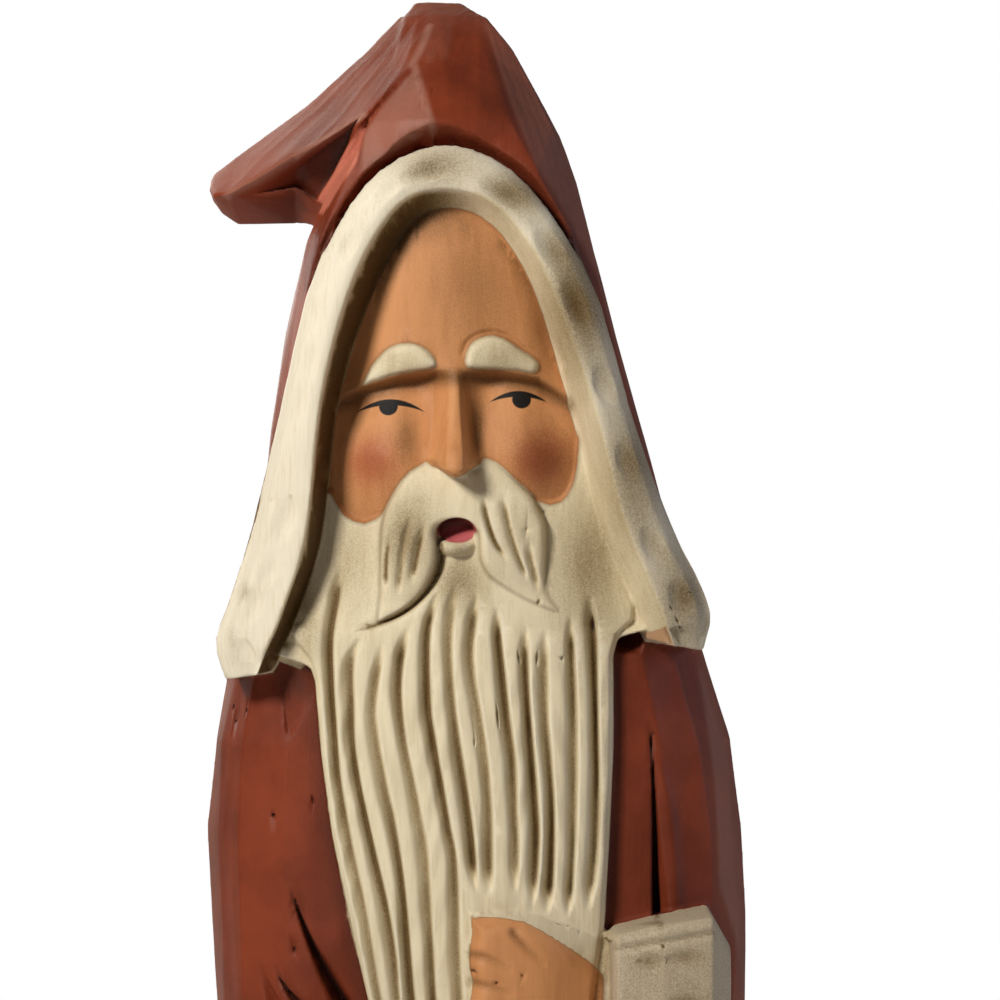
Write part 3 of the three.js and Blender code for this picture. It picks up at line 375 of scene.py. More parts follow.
def beard_crown(x, z):
    """How far the beard stands forward between its cuts."""
    left, right = along(BEARD_LEFT, z), along(BEARD_RIGHT, z)
    u = np.clip((x - left) / (right - left), 0, 1)
    middle, edge = flowing(BEARD_MIDDLE, z), flowing(BEARD_EDGE, z)
    from_edge = np.minimum(x - left, right - x)
    return mix(edge, middle, 1 - (2 * u - 1) ** 2) - 0.35 * (1 - ease(from_edge / 0.35))


def beard_front(x, z):
    """How far the beard stands forward, with the V cuts between its strands."""
    ripple = 0.035 * np.sin(z * 1.7 + 5 * np.sin(x * 1.3)) * ease((64 - z) / 3)
    return beard_crown(x, z) + ripple - v_cuts(BEARD_CUTS, x, z, *BEARD_CUT)


def raised(distance, edge):
    """Share of its full height that a rounded form has at a distance inside its outline."""
    t = np.clip(distance / edge, 0, 1)
    return np.sqrt(np.maximum(0, 1 - (1 - t) ** 2))


def with_brows(surface, x, z):
    """Both brows, raised from the brow shelf, and a fine groove over the right one."""
    shelf = face_front(x, np.maximum(z, along(BROW_LINE, x) + 0.15))
    for brow in (LEFT_BROW, RIGHT_BROW):
        inside = inside_curve(brow, 60, x, z, 1.0)
        brow_front = shelf + BROW_RISE * raised(inside, BROW_ROUND) - 0.04
        surface = np.where(inside > 0, np.maximum(surface, brow_front), surface)
    return surface - 0.16 * hill(inside + 0.22, 0.14) * ease((z - 79.2) / 0.8)


def with_moustache(surface, x, z):
    """The moustache's two lobes with their V cuts, and the cut that frees the left lobe."""
    inside = inside_curve(MOUSTACHE, 180, x, z, 1.5)
    full = along(MOUSTACHE_FRONT, z) - 0.019 * (x - FACE_MIDDLE) ** 2
    full = full - v_cuts(MOUSTACHE_CUTS, x, z, *MOUSTACHE_CUT)
    foot = surface - 0.1
    lobes = foot + np.maximum(full - foot, 0.2) * raised(inside, MOUSTACHE_ROUND)
    surface = np.where(inside > 0, np.maximum(surface, lobes), surface)
    gap, share = curve_distance(LOBE_UNDERCUT, 30, x, z)
    freed = np.clip(1 - gap / mix(0.42, 0.2, share), 0, 1) * ease(share / 0.1) * ease((1 - share) / 0.25)
    return surface - UNDERCUT_DEPTH * freed * (inside < 0.12)


def mouth_reach(x, z):
    """0 in the middle of the mouth's opening, and 1 at its edge."""
    return np.hypot((x - MOUTH["x"]) / MOUTH["half_width"], (z - MOUTH["z"]) / MOUTH["half_height"])


def with_mouth(surface, x, z):
    """The lower lip, and behind it the mouth's hollow with the tongue on its floor."""
    across = np.clip(np.abs(x - MOUTH["x"]) / LIP["half_width"], 0, 1)
    middle, half = (LIP["low"] + LIP["high"]) / 2 + 0.15 * across**2, (LIP["high"] - LIP["low"]) / 2
    height = 1 - np.clip(np.abs(z - middle) / half, 0, 1)
    lip = LIP["front"] + 0.7 * np.sqrt(np.clip(height * 1.5, 0, 1)) - 0.6 * across**2
    surface = np.where((across < 1) & (height > 0), np.maximum(surface, lip), surface)
    tongue = MOUTH["tongue"] * ease((MOUTH["z"] + 0.1 + 0.35 * (x - MOUTH["x"]) - z) / 0.9)
    hollow = MOUTH["floor"] + tongue + 12 * np.maximum(0, mouth_reach(x, z) - 0.82)
    return np.minimum(surface, hollow)


def front(x, z):
    """How far the face, moustache and beard stand forward at each x, z of the carver's pattern."""
    skin = skin_share(x, z)
    face = face_front(x, z) - 0.14 * hill(skin, 0.22) * (z < 76)
    surface = mix(beard_front(x, z), face, ease(skin / 0.35))
    surface = np.where(z > BEARD_TOP + 2.4, face, surface)
    return with_mouth(with_moustache(with_brows(surface, x, z), x, z), x, z)


TRIM_TOP_ROW = int(np.argmax(TRIM_ROWS[:, 3]))


def relief_left(z):
    """Left edge of the relief block: the beard's, and from the trim's end up the inner edge of the trim."""
    crest = np.interp(z, TRIM_ROWS[: TRIM_TOP_ROW + 1, 3], TRIM_ROWS[: TRIM_TOP_ROW + 1, 2])
    return mix(along(BEARD_LEFT, z), crest, ease((z - 62.3) / 1.2))


def relief_right(z):
    """Right edge of the relief block, in the same way."""
    falling = TRIM_ROWS[TRIM_TOP_ROW:][::-1]
    crest = np.interp(z, falling[:, 3], falling[:, 2])
    return mix(along(BEARD_RIGHT, z), crest, ease((z - 63.9) / 1.0))


def relief_share(x, z):
    """Over 0 on the relief block, in squares from its edge."""
    levels = np.arange(BEARD_TIP, FACE_TOP, 0.25)
    left = np.column_stack([relief_left(levels), levels])
    right = np.column_stack([relief_right(levels), levels])
    return inside_distance(np.vstack([left, right[::-1]]), x, z)


def to_metres(x, f, z):
    """Places in the frame, from squares of the pattern."""
    return np.column_stack([x * SQUARE, -f * SQUARE, BASE_HEIGHT + z * SQUARE])


def to_squares(points):
    """Squares of the pattern, from places in the frame."""
    return points[:, 0] / SQUARE, -points[:, 1] / SQUARE, (points[:, 2] - BASE_HEIGHT) / SQUARE


def relief_front(x, z):
    """The face and beard, and the trim's inner wall where it stands before them."""
    return np.where(z > WALL_END, np.maximum(front(x, z), trim_wall(x, z)), front(x, z))


RELIEF_BACK = 4.0  # the relief block reaches this far into the figure
UNDER_RELIEF = 5.6  # and the solid under it is kept back to here


def relief_block():
    """Points and faces of a block whose front is the carved face and beard."""
    levels = np.linspace(BEARD_TIP, FACE_TOP - 0.1, int((FACE_TOP - BEARD_TIP) / RELIEF_STEP))
    columns = int(20 / RELIEF_STEP)
    left, right = relief_left(levels), relief_right(levels)
    shares = np.linspace(0, 1, columns)
    x = left[:, None] + (right - left)[:, None] * shares[None, :]
    z = np.repeat(levels[:, None], columns, axis=1)
    f = relief_front(x.ravel(), z.ravel())
    points = np.vstack([
        to_metres(x.ravel(), f, z.ravel()),
        to_metres(x.ravel(), np.full(f.shape, RELIEF_BACK), z.ravel()),
    ])
    rows = len(levels)
    index = np.arange(rows * columns).reshape(rows, columns)
    a, b, c, d = index[:-1, :-1], index[:-1, 1:], index[1:, 1:], index[1:, :-1]
    faces = [np.stack([a, b, c, d], -1).reshape(-1, 4)]
    back = rows * columns
    faces.append(np.stack([d, c, b, a], -1).reshape(-1, 4) + back)
    ring = np.concatenate([index[0, :], index[1:, -1], index[-1, -2::-1], index[-2:0:-1, 0]])
    after = np.roll(ring, -1)
    faces.append(np.stack([ring + back, after + back, after, ring], -1))
    return points, np.vstack(faces)


def mesh_from(name, points, faces):
    """A mesh whose faces all have the same number of sides."""
    mesh = bpy.data.meshes.new(name)
    mesh.vertices.add(len(points))
    mesh.vertices.foreach_set("co", np.asarray(points, np.float32).ravel())
    sides = faces.shape[1]
    mesh.loops.add(faces.size)
    mesh.loops.foreach_set("vertex_index", faces.astype(np.int32).ravel())
    mesh.polygons.add(len(faces))
    mesh.polygons.foreach_set("loop_start", np.arange(0, faces.size, sides, dtype=np.int32))
    mesh.update(calc_edges=True)
    mesh.validate()
    return mesh


def read(items, name, kind, width):
    """One property of all items of a mesh, such as its points' places, as rows of an array."""
    values = np.empty(len(items) * width, kind)
    items.foreach_get(name, values)
    return values.reshape(-1, width)


def points_of(mesh):
    return read(mesh.vertices, "co", np.float32, 3).astype(float)


def normals_of(mesh):
    return read(mesh.vertex_normals, "vector", np.float32, 3).astype(float)


def edges_of(mesh):
    return read(mesh.edges, "vertices", np.int32, 2)


def move_points(mesh, points):
    """Gives a mesh's points new places."""
    mesh.vertices.foreach_set("co", points.astype(np.float32).ravel())
    mesh.update()


def put_in_scene(name, data):
    """A new object at the origin, unturned and unscaled."""
    made = bpy.data.objects.new(name, data)
    bpy.context.scene.collection.objects.link(made)
    return made


def result_of(holder):
    """What an object's modifiers make of it, as a plain mesh. The object goes."""
    mesh = bpy.data.meshes.new_from_object(holder.evaluated_get(bpy.context.evaluated_depsgraph_get()))
    bpy.data.objects.remove(holder)
    return mesh


def smoothed(points, edges, rounds, share=1.0):
    """Points drawn towards the middle of their neighbours, as sandpaper does, share by share."""
    points = points.copy()
    count = np.bincount(edges.ravel(), minlength=len(points)).clip(1)
    share = np.broadcast_to(share, len(points))[:, None]
    for _ in range(rounds):
        total = np.empty_like(points)
        for axis in range(points.shape[1]):
            total[:, axis] = np.bincount(edges[:, 0], points[edges[:, 1], axis], len(points))
            total[:, axis] += np.bincount(edges[:, 1], points[edges[:, 0], axis], len(points))
        points += share * (total / count[:, None] - points)
    return points


# The robe, as in the solid: front and half width by height, and its round corner by share of that width.
ROBE_FRONT = [(0, 11), (5, 10.5), (14, 9.9), (26, 9.3), (36, 8.9), (48, 8.5), (56, 8.3), (64, 8.1),
              (68, 7.8)]
ROBE_HALF = [(0, 15.5), (5, 15.2), (14, 14.7), (26, 14.2), (34, 14.6), (40, 15), (47, 15.2), (54, 15.2),
             (58, 14.6), (63, 13.4), (68, 11.5)]
ROBE_CORNER = [(0, 1), (0.25, 1), (0.5, 0.985), (0.7, 0.93), (0.86, 0.76), (0.955, 0.42), (1, 0)]
# The cuffs and hands that lie on the beard, as in the solid: rows of x, lowest and highest z, and for a cuff
# where it begins, by f.
RIGHT_CUFF = [(6.85, 41.7, 47.8, 8), (7.45, 41, 48.35, 7), (10, 40.8, 48.9, 6), (12.6, 41.1, 49.25, 7.2),
              (13.7, 42, 47.3, 7.4)]
LEFT_CUFF = [(-4.6, 35.4, 41.9, 8), (-5.2, 34.7, 42.5, 7), (-8.3, 34.6, 42.9, 6), (-11.6, 35.1, 43.1, 7.2),
             (-13.2, 36.3, 41.8, 7.4)]
RIGHT_HAND = [(-0.2, 42.2, 48.8), (0.5, 41.9, 49), (2.4, 41.9, 49), (5, 42, 48.1), (7.6, 42.2, 46.9)]
LEFT_HAND = [(2.9, 35.5, 42), (2, 35.3, 42.2), (-0.4, 35.3, 42.2), (-2.4, 35.4, 41.9), (-4.9, 36.2, 41.2)]


def robe_front(x, z):
    """How far the robe stands forward at each x, z."""
    return along(ROBE_FRONT, z) * along(ROBE_CORNER, np.abs(x) / along(ROBE_HALF, z))


def cuff_share(x, f, z):
    """Over 0 on the fur cuffs, in squares from their edges."""
    best = np.full(x.shape, -3.0)
    above_robe = f - robe_front(x, z) - 0.25
    for rows in (RIGHT_CUFF, LEFT_CUFF):
        xs = [r[0] for r in rows]
        low, high, back = (along([(r[0], r[i]) for r in rows], x) for i in (1, 2, 3))
        ends = np.minimum(x - min(xs) + 0.05, max(xs) - x + 0.25)
        here = np.minimum.reduce([ends, z - low + 0.3, high - z + 0.3, f - back, above_robe])
        best = np.maximum(best, here)
    return best


def hand_share(x, f, z):
    """Over 0 on the hands, in squares from their edges."""
    best = np.full(x.shape, -3.0)
    above_beard = f - beard_crown(x, z) - 0.12
    for rows in (RIGHT_HAND, LEFT_HAND):
        xs = [r[0] for r in rows]
        low, high = (along([(r[0], r[i]) for r in rows], x) for i in (1, 2))
        ends = np.minimum(x - min(xs) + 0.3, max(xs) - x)
        here = np.minimum.reduce([ends, z - low + 0.25, high - z + 0.25, above_beard])
        best = np.maximum(best, here)
    return best


def blank_from_solid():
    """A copy of the frame's solid, kept back where the relief block gives the face and beard their front."""
    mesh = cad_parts[FIGURE].data.copy()
    merged = bmesh.new()
    merged.from_mesh(mesh)
    bmesh.ops.remove_doubles(merged, verts=merged.verts, dist=1e-6)
    merged.to_mesh(mesh)
    merged.free()
    points = points_of(mesh)
    x, f, z = to_squares(points)
    inside = relief_share(x, z)
    lies_on_beard = (f > beard_crown(x, z) + 0.12) & (z < 52)
    on_hand = (np.maximum(hand_share(x, f, z), cuff_share(x, f, z)) > -0.2) & lies_on_beard
    on_trim = (z > 62) & (f > front(x, z) + 1.3)
    rim = (np.abs(inside) <= 0.05) & (f > along(BEARD_EDGE, z) - 0.45)
    sunk = ((inside > 0.05) | rim) & (f > UNDER_RELIEF) & ~on_hand & ~on_trim
    points[sunk, 1] = -UNDER_RELIEF * SQUARE
    move_points(mesh, points)
    return mesh


def joined(meshes):
    """Several meshes in one, still loose from each other."""
    whole = bmesh.new()
    for mesh in meshes:
        whole.from_mesh(mesh)
    mesh = bpy.data.meshes.new("blank")
    whole.to_mesh(mesh)
    whole.free()
    return mesh


def with_modifier(mesh, kind, **settings):
    """The mesh after one modifier, as a new mesh."""
    holder = put_in_scene("holder", mesh)
    modifier = holder.modifiers.new(kind.lower(), kind)
    for name, value in settings.items():
        setattr(modifier, name, value)
    return result_of(holder)


# Front of the robe under the left end of the trim, as x and f, and the heights it lies between.
SHOULDER = [(-12, 6.3), (-11.5, 6.7), (-11, 7.05), (-10.4, 7.42), (-9.8, 7.6), (-8.7, 7.7)]
SHOULDER_HEIGHTS = (58.0, 63.4)
# Upper edge of the right hand, that the knife slants down to the wrist, its lower edge and its fingers' ends.
HAND_TOP = [(-0.6, 49.05), (1.2, 49), (2.5, 48.75), (3.6, 48.15), (4.9, 47.3), (6, 46.5), (7, 45.5)]
HAND_FOOT, FINGER_ENDS = 41.8, -0.42

# V cuts in the sleeves: path, half width at its end, and depth.
SLEEVE_CUTS = [
    ([(9.44, 59), (9.6, 56.4), (9.7, 53.7), (9.72, 51), (9.78, 48.8)], 0.26, 1.3),
    ([(-10.1, 49.6), (-9.75, 48.6), (-9.3, 47.5), (-8.75, 46.3), (-7.85, 44.6), (-7, 43.2)], 0.45, 1.5),
    ([(-10.95, 45.3), (-10.3, 44.4), (-9.4, 43.4)], 0.35, 1),
]
# The fold that stands up beside the right sleeve's cut.
RAISED_FOLD = [(9.6, 58.2), (10.1, 56.4), (10.5, 55), (10.75, 52.5), (10.95, 49.6)]

# The hollow under the knife edge of the hood's tip: along the edge to the fold, and round under it.
HOOD_NOTCH = [(-13.6, 88.35), (-9.9, 90.6), (-6.35, 92.95), (-7.05, 91.3), (-8, 89.7), (-9.5, 87.6),
              (-10.2, 86.6), (-13.6, 86.6)]
HOOD_EDGE = HOOD_NOTCH[:3]
# Creases between the fingers, from their ends, with their depths.
HAND_CREASES = [
    ([(-0.5, 47.1), (0.5, 46.95), (1.6, 46.4)], 0.3),
    ([(-0.5, 45.55), (0.5, 45.45), (1.7, 45.1)], 0.3),
    ([(-0.5, 44), (0.6, 43.9), (1.8, 43.6)], 0.3),
    ([(1.9, 48.3), (2.6, 47.5), (3.4, 46.7)], 0.28),
]
# The fine groove that cuts the right cuff's top edge free as a lip.
CUFF_LIP = [(7.3, 47.5), (9.8, 47.95), (12.7, 48.4)]

IN_FRONT = 4  # the forms seen in front lie before this f
SLEEVE_FRONT = 10.5  # and the cuffs before this one
# Strokes of the knife: width, length and depth of one on the robe, hood and hem, and of one on the trim.
CLOTH_STROKE = (6 * MM, 26 * MM, 0.3)
TRIM_STROKE = (8 * MM, 10 * MM, 0.28)
ROBE_RADIUS = 14  # that the strokes are spaced by, round the robe


def hashed(i, j, salt):
    """The same number between 0 and 1 each time for cell i, j."""
    value = np.sin(i * 127.1 + j * 311.7 + salt * 74.7) * 43758.5453
    return value - np.floor(value)


def knife_facets(u, v):
    """Bowls that meet in soft ridges, one for each stroke: 0 in a bowl's middle and over 0 to its rim."""
    cell_u, cell_v = np.floor(u), np.floor(v)
    nearest = np.full(u.shape, 9.0)
    for di in (-1, 0, 1):
        for dj in (-1, 0, 1):
            i, j = cell_u + di, cell_v + dj
            gap_u = i + 0.2 + 0.6 * hashed(i, j, 1) - u
            gap_v = j + 0.2 + 0.6 * hashed(i, j, 2) - v
            nearest = np.minimum(nearest, gap_u**2 + gap_v**2)
    return nearest


def stroke_depth(x, f, z, on_trim):
    """How far the strokes of the knife raise or lower the surface."""
    wide, long, deep = CLOTH_STROKE
    round_robe = np.arctan2(x, f) * ROBE_RADIUS / wide
    on_cloth = deep * (knife_facets(round_robe + 0.25 * np.sin(z * 0.4), z / long) - 0.35)
    wide, long, deep = TRIM_STROKE
    return np.where(on_trim, deep * (knife_facets(x / wide, z / long) - 0.3), on_cloth) * MM


def trim_slope(x, f, z):
    """How far the trim falls away from its inner edge to its outer edge."""
    outer_gap, _ = path_distance(TRIM_ROWS[:, 0:2], x, z, 4.0)
    inner_gap, _ = path_distance(TRIM_ROWS[:, 2:4], x, z, 4.0)
    across = np.clip(inner_gap / (outer_gap + inner_gap + 1e-6), 0, 1)
    return 0.8 * ease((f - 8.2) / 1.2) * across


def cut_sleeves(x, f, z, on_robe):
    """The V cuts in the sleeves, and the fold that stands up beside the right one."""
    for path, half, depth in SLEEVE_CUTS:
        gap, share = curve_distance(path, 24, x, z)
        wide = half * mix(0.12, 1, share)
        cut = depth * mix(0.4, 1, share) * np.clip(1 - gap / wide, 0, 1)
        f = np.where(on_robe & (f < SLEEVE_FRONT), f - cut, f)
    gap, share = curve_distance(RAISED_FOLD, 20, x, z)
    return f + np.where(on_robe & (f < SLEEVE_FRONT), 0.14 * hill(gap, 0.3) * ease(share / 0.3), 0)


def cut_hood(x, f, z, in_front):
    """The hood is cut back over the trim, and hollowed beside its tip, deepest against the fold."""
    outside_trim = -trim_share(x, z)
    recess = mix(9.6, 7.7, ease((z - 82.5) / 5)) + 1.7 * outside_trim
    at_hood = (outside_trim > -0.05) & (outside_trim < 1.5) & (z > 82) & (f > 5) & (x > -13) & (x < 9)
    f = np.where(at_hood & (relief_share(x, z) < -0.5), np.minimum(f, recess), f)
    from_edge, _ = path_distance(HOOD_EDGE, x, z, 4.0)
    hollow = 1.15 * ease(from_edge / 0.3) * ease((x + 13.4) / 5.0) * ease((z - 86.7) / 3.4)
    return f - np.where(in_front, hollow * ease(inside_distance(HOOD_NOTCH, x, z) / 0.3), 0)


def fill_shoulders(x, f, z, beside_beard):
    """Under the trim's ends its inner wall runs on beside the beard, and the robe fills in behind it."""
    inner_side = (x > relief_left(z) - 3.2) & (x < relief_right(z) + 3.2) & (trim_share(x, z) > 0.02)
    wall = mix(f, np.maximum(f, trim_wall(x, z)), ease((z - 61.8) / 0.3))
    f = np.where(beside_beard & inner_side, wall, f)
    low, high = SHOULDER_HEIGHTS
    at_shoulder = beside_beard & (x > SHOULDER[0][0]) & (x < SHOULDER[-1][0]) & (z > low) & (z < high)
    return np.where(at_shoulder, np.maximum(f, along(SHOULDER, x)), f)


def cut_hand(x, f, z):
    """The right hand is one rounded mass, with creases at the fingers' ends, and its cuff has a lip."""
    crown = beard_crown(x, z)
    on_hand = (hand_share(x, f, z) > -0.35) & (x > -1) & (x < 7.2) & (z > 41) & (f - crown > -0.2)
    ends = FINGER_ENDS + 0.1 * np.sin(z * 2.1 + 0.6)
    inset = np.minimum.reduce([x - ends, along(HAND_TOP, x) - z, z - HAND_FOOT])
    back = mix(1.3, 0.85, ease((x - 3.5) / 3)) * raised(inset, 1.0)
    for path, depth in HAND_CREASES:
        gap, share = curve_distance(path, 16, x, z)
        back = back - depth * hill(gap, 0.24) * (1 - 0.7 * share)
    f = np.where(on_hand, np.where(inset > 0, crown + back, np.minimum(f, crown)), f)
    lip, _ = path_distance(CUFF_LIP, x, z)
    return f - 0.3 * hill(lip, 0.13) * (f > 11.5) * (x > 6.5)


def knife_work(points, normals):
    """Cuts the surface back in front, square by square, as the knife did after the main forms were there."""
    x, f, z = to_squares(points)
    in_front, in_relief = f > IN_FRONT, relief_share(x, z)
    on_trim = in_front & (trim_share(x, z) > -0.1)
    plain = ((in_relief < -0.1) | ~in_front) & (z > 0.2)
    amount = np.where(plain, stroke_depth(x, f, z, on_trim), 0) * ease(np.abs(in_relief + 0.1) / 0.6)
    x = x + amount * normals[:, 0]
    f = f - amount * normals[:, 1]
    z = z + amount * normals[:, 2]
    f = np.where(on_trim & (in_relief < 0.05), f - trim_slope(x, f, z), f)
    f = cut_sleeves(x, f, z, in_front & (in_relief < -0.2))
    f = cut_hood(x, f, z, in_front)
    f = fill_shoulders(x, f, z, in_front & (in_relief < 0.1) & (z < 65))
    return to_metres(x, cut_hand(x, f, z), z)


# Bites of the gouge and small chips in front: x and z of the middle, half width, half height, turn in degrees
# and depth, in squares.
TRIM_BITES = [(-2.9, 89.5, 1.55, 0.72, 14, 0.24), (-5, 88.5, 0.9, 0.55, 40, 0.1),
              (1.45, 88.3, 1.6, 0.72, -30, 0.28), (4.1, 85.3, 0.85, 1.35, 34, 0.26),
              (5.35, 82.2, 0.65, 1.5, 27, 0.28), (7.1, 77.9, 0.8, 1.15, 17, 0.2),
              (8.25, 73.7, 0.7, 1.1, 20, 0.16), (9.75, 69, 0.7, 1.25, 32, 0.2),
              (11.3, 66.3, 0.85, 1.1, 25, 0.2), (10.95, 64.1, 0.9, 0.5, -20, 0.12),
              (-10, 76.6, 0.6, 1.3, -14, 0.1), (-10.8, 70.3, 0.75, 1.5, -22, 0.18),
              (-7.35, 85.3, 0.62, 1.15, -32, 0.16), (-9.1, 81.5, 0.55, 1.1, -20, 0.1),
              (-9.3, 79, 0.5, 1, -16, 0.08), (-11.6, 67.6, 0.6, 1, -28, 0.1),
              (-12.6, 65.6, 0.7, 1.2, -32, 0.14), (-13, 63.2, 0.8, 0.8, -10, 0.12)]
CUFF_BITES = [(9.2, 46.9, 0.9, 0.5, 8, 0.14), (11.2, 47.1, 1.2, 0.45, 6, 0.14),
              (11.3, 44.4, 1.2, 0.8, -8, 0.2), (8.9, 43.2, 0.9, 0.7, 10, 0.18), (-7, 41, 1, 0.5, -6, 0.16),
              (-10.2, 40.2, 1.1, 0.7, 12, 0.2), (-8.3, 37.2, 1.1, 0.7, -4, 0.2),
              (-11.2, 37.4, 0.9, 0.7, 14, 0.16)]
CHIPS = [(2.2, 63, 0.1, 0.4, 8, 0.12), (3.2, 63, 0.1, 0.38, -6, 0.12), (4.6, 62.95, 0.14, 0.16, 0, 0.12),
         (1.05, 59.9, 0.1, 0.7, 4, 0.14), (-0.2, 58.5, 0.09, 0.3, 0, 0.1),
         (3.6, 70.9, 0.12, 0.14, 20, 0.1), (2.65, 70, 0.1, 0.16, 0, 0.1), (3.3, 66, 0.12, 0.2, -20, 0.12),
         (-6, 64.75, 0.3, 0.1, -15, 0.12), (-13.75, 60, 0.12, 0.2, 10, 0.16),
         (-12.9, 59.9, 0.13, 0.16, 0, 0.16), (-13.6, 59.2, 0.16, 0.1, 0, 0.14),
         (-11.3, 54.2, 0.14, 0.14, 0, 0.16), (-9.1, 55.1, 0.1, 0.3, 10, 0.14),
         (-10.1, 46.9, 0.12, 0.2, 0, 0.14), (10.85, 65, 0.08, 0.3, 24, 0.16),
         (10.5, 65.7, 0.07, 0.28, 30, 0.16), (10.95, 64.6, 0.12, 0.12, 0, 0.16),
         (9.9, 47.75, 0.16, 0.2, 20, 0.18), (-0.3, 46.2, 0.3, 0.1, -12, 0.16),
         (1, 45.6, 0.12, 0.14, 0, 0.12), (2.4, 46, 0.1, 0.12, 0, 0.1)]
HEM_BITES = [(1.75, 0.2, 5), (3.95, 0.2, 8)]  # height of each row round the hem, depth and seed
BITTEN = 0.87  # width of a bite, as a share of that of its ball, which sinks in by a quarter of its thickness


def gouge_tree():
    """Geometry Nodes that set a gouge's bite, a flattened ball, at each mark or every so far along a path."""
    tree = bpy.data.node_groups.new("gouge_bites", "GeometryNodeTree")
    sockets = [
        ("Marks", "INPUT", "NodeSocketGeometry"),
        ("Along Path", "INPUT", "NodeSocketBool"),
        ("Spacing", "INPUT", "NodeSocketFloat"),
        ("Uneven", "INPUT", "NodeSocketFloat"),
        ("Seed", "INPUT", "NodeSocketInt"),
        ("Paint", "INPUT", "NodeSocketMaterial"),
        ("Bites", "OUTPUT", "NodeSocketGeometry"),
    ]
    for name, way, kind in sockets:
        tree.interface.new_socket(name, in_out=way, socket_type=kind)
    given = {name: add(tree, "NodeGroupInput", out=name) for name, way, _ in sockets if way == "INPUT"}
    single = add(tree, "GeometryNodeMeshToPoints", {"Mesh": given["Marks"]})
    path = add(tree, "GeometryNodeMeshToCurve", {"Mesh": given["Marks"]})
    spaced = add(tree, "GeometryNodeResampleCurve", {"Curve": path, "Length": given["Spacing"]},
                 mode="LENGTH")
    chosen = add(tree, "GeometryNodeSwitch", {"Switch": given["Along Path"], "False": single, "True": spaced},
                 input_type="GEOMETRY")
    bite = add(tree, "GeometryNodeInputNamedAttribute", {"Name": "bite"}, data_type="FLOAT_VECTOR")
    facing = add(tree, "GeometryNodeInputNamedAttribute", {"Name": "facing"}, data_type="FLOAT_VECTOR")
    turn = add(tree, "GeometryNodeInputNamedAttribute", {"Name": "turn"}, data_type="FLOAT")
    least = add(tree, "ShaderNodeMath", {0: 1.0, 1: given["Uneven"]}, operation="SUBTRACT")
    most = add(tree, "ShaderNodeMath", {0: 1.0, 1: given["Uneven"]}, operation="ADD")
    chance = add(tree, "FunctionNodeRandomValue", {2: least, 3: most, "Seed": given["Seed"]}, 1)
    sway = add(tree, "ShaderNodeMath", {0: chance, 1: 1.0}, operation="SUBTRACT")
    swung = add(tree, "ShaderNodeMath", {0: turn, 1: sway}, operation="ADD")
    size = add(tree, "ShaderNodeVectorMath", {0: bite, "Scale": chance}, operation="SCALE")
    aim = add(tree, "FunctionNodeAxesToRotation", {"Primary Axis": facing, "Secondary Axis": (0, 0, 1)},
              primary_axis="Z", secondary_axis="Y")
    spin = add(tree, "FunctionNodeAxisAngleToRotation", {"Axis": (0, 0, 1), "Angle": swung})
    rotation = add(tree, "FunctionNodeRotateRotation", {"Rotation": aim, "Rotate By": spin},
                   rotation_space="LOCAL")
    ball = add(tree, "GeometryNodeMeshIcoSphere", {"Radius": 1.0, "Subdivisions": 3})
    placed = add(tree, "GeometryNodeInstanceOnPoints",
                 {"Points": chosen, "Instance": ball, "Rotation": rotation, "Scale": size})
    real = add(tree, "GeometryNodeRealizeInstances", {"Geometry": placed})
    done = add(tree, "GeometryNodeSetMaterial", {"Geometry": real, "Material": given["Paint"]})
    add(tree, "NodeGroupOutput", {"Bites": done})
    return tree


def marks_mesh(places, facings, bites, turns, closed):
    """Marks for the gouge: points, or a closed path, with the size and the direction of each bite."""
    mesh = bpy.data.meshes.new("marks")
    mesh.vertices.add(len(places))
    mesh.vertices.foreach_set("co", np.asarray(places, np.float32).ravel())
    if closed:
        ring = np.arange(len(places), dtype=np.int32)
        mesh.edges.add(len(places))
        mesh.edges.foreach_set("vertices", np.stack([ring, np.roll(ring, -1)], -1).ravel())
    mesh.attributes.new("bite", "FLOAT_VECTOR", "POINT").data.foreach_set("vector", np.ravel(bites))
    mesh.attributes.new("facing", "FLOAT_VECTOR", "POINT").data.foreach_set("vector", np.ravel(facings))
    mesh.attributes.new("turn", "FLOAT", "POINT").data.foreach_set("value", np.asarray(turns, np.float32))
    mesh.update()
    return mesh


def bites_on(mesh, tree, inputs):
    """The bites that the tree sets on marks, as a plain mesh."""
    holder = put_in_scene("marks", mesh)
    modifier = holder.modifiers.new("bites", "NODES")
    modifier.node_group = tree
    for item in tree.interface.items_tree:
        if item.name in inputs:
            modifier[item.identifier] = inputs[item.name]
    return result_of(holder)


def bites_in_front(carved, tree):
    """The photographed bites and chips, each on the surface straight behind its x, z."""
    places, facings, bites, turns = [], [], [], []
    for x, z, half_width, half_height, turn, depth in [*TRIM_BITES, *CUFF_BITES, *CHIPS]:
        start = Vector(to_metres(np.array([x]), np.array([30.0]), np.array([z]))[0])
        _, place, normal, _ = carved.ray_cast(start, Vector((0, 1, 0)))
        facing = (normal + Vector((0, -1.5, 0))).normalized()
        places.append(place + facing * depth * SQUARE)
        facings.append(facing)
        bites.append((half_width * SQUARE / BITTEN, half_height * SQUARE / BITTEN, 2 * depth * SQUARE))
        turns.append(math.radians(turn))
    marks = marks_mesh(places, facings, bites, turns, False)
    return bites_on(marks, tree, {"Along Path": False, "Uneven": 0.0, "Seed": 3})


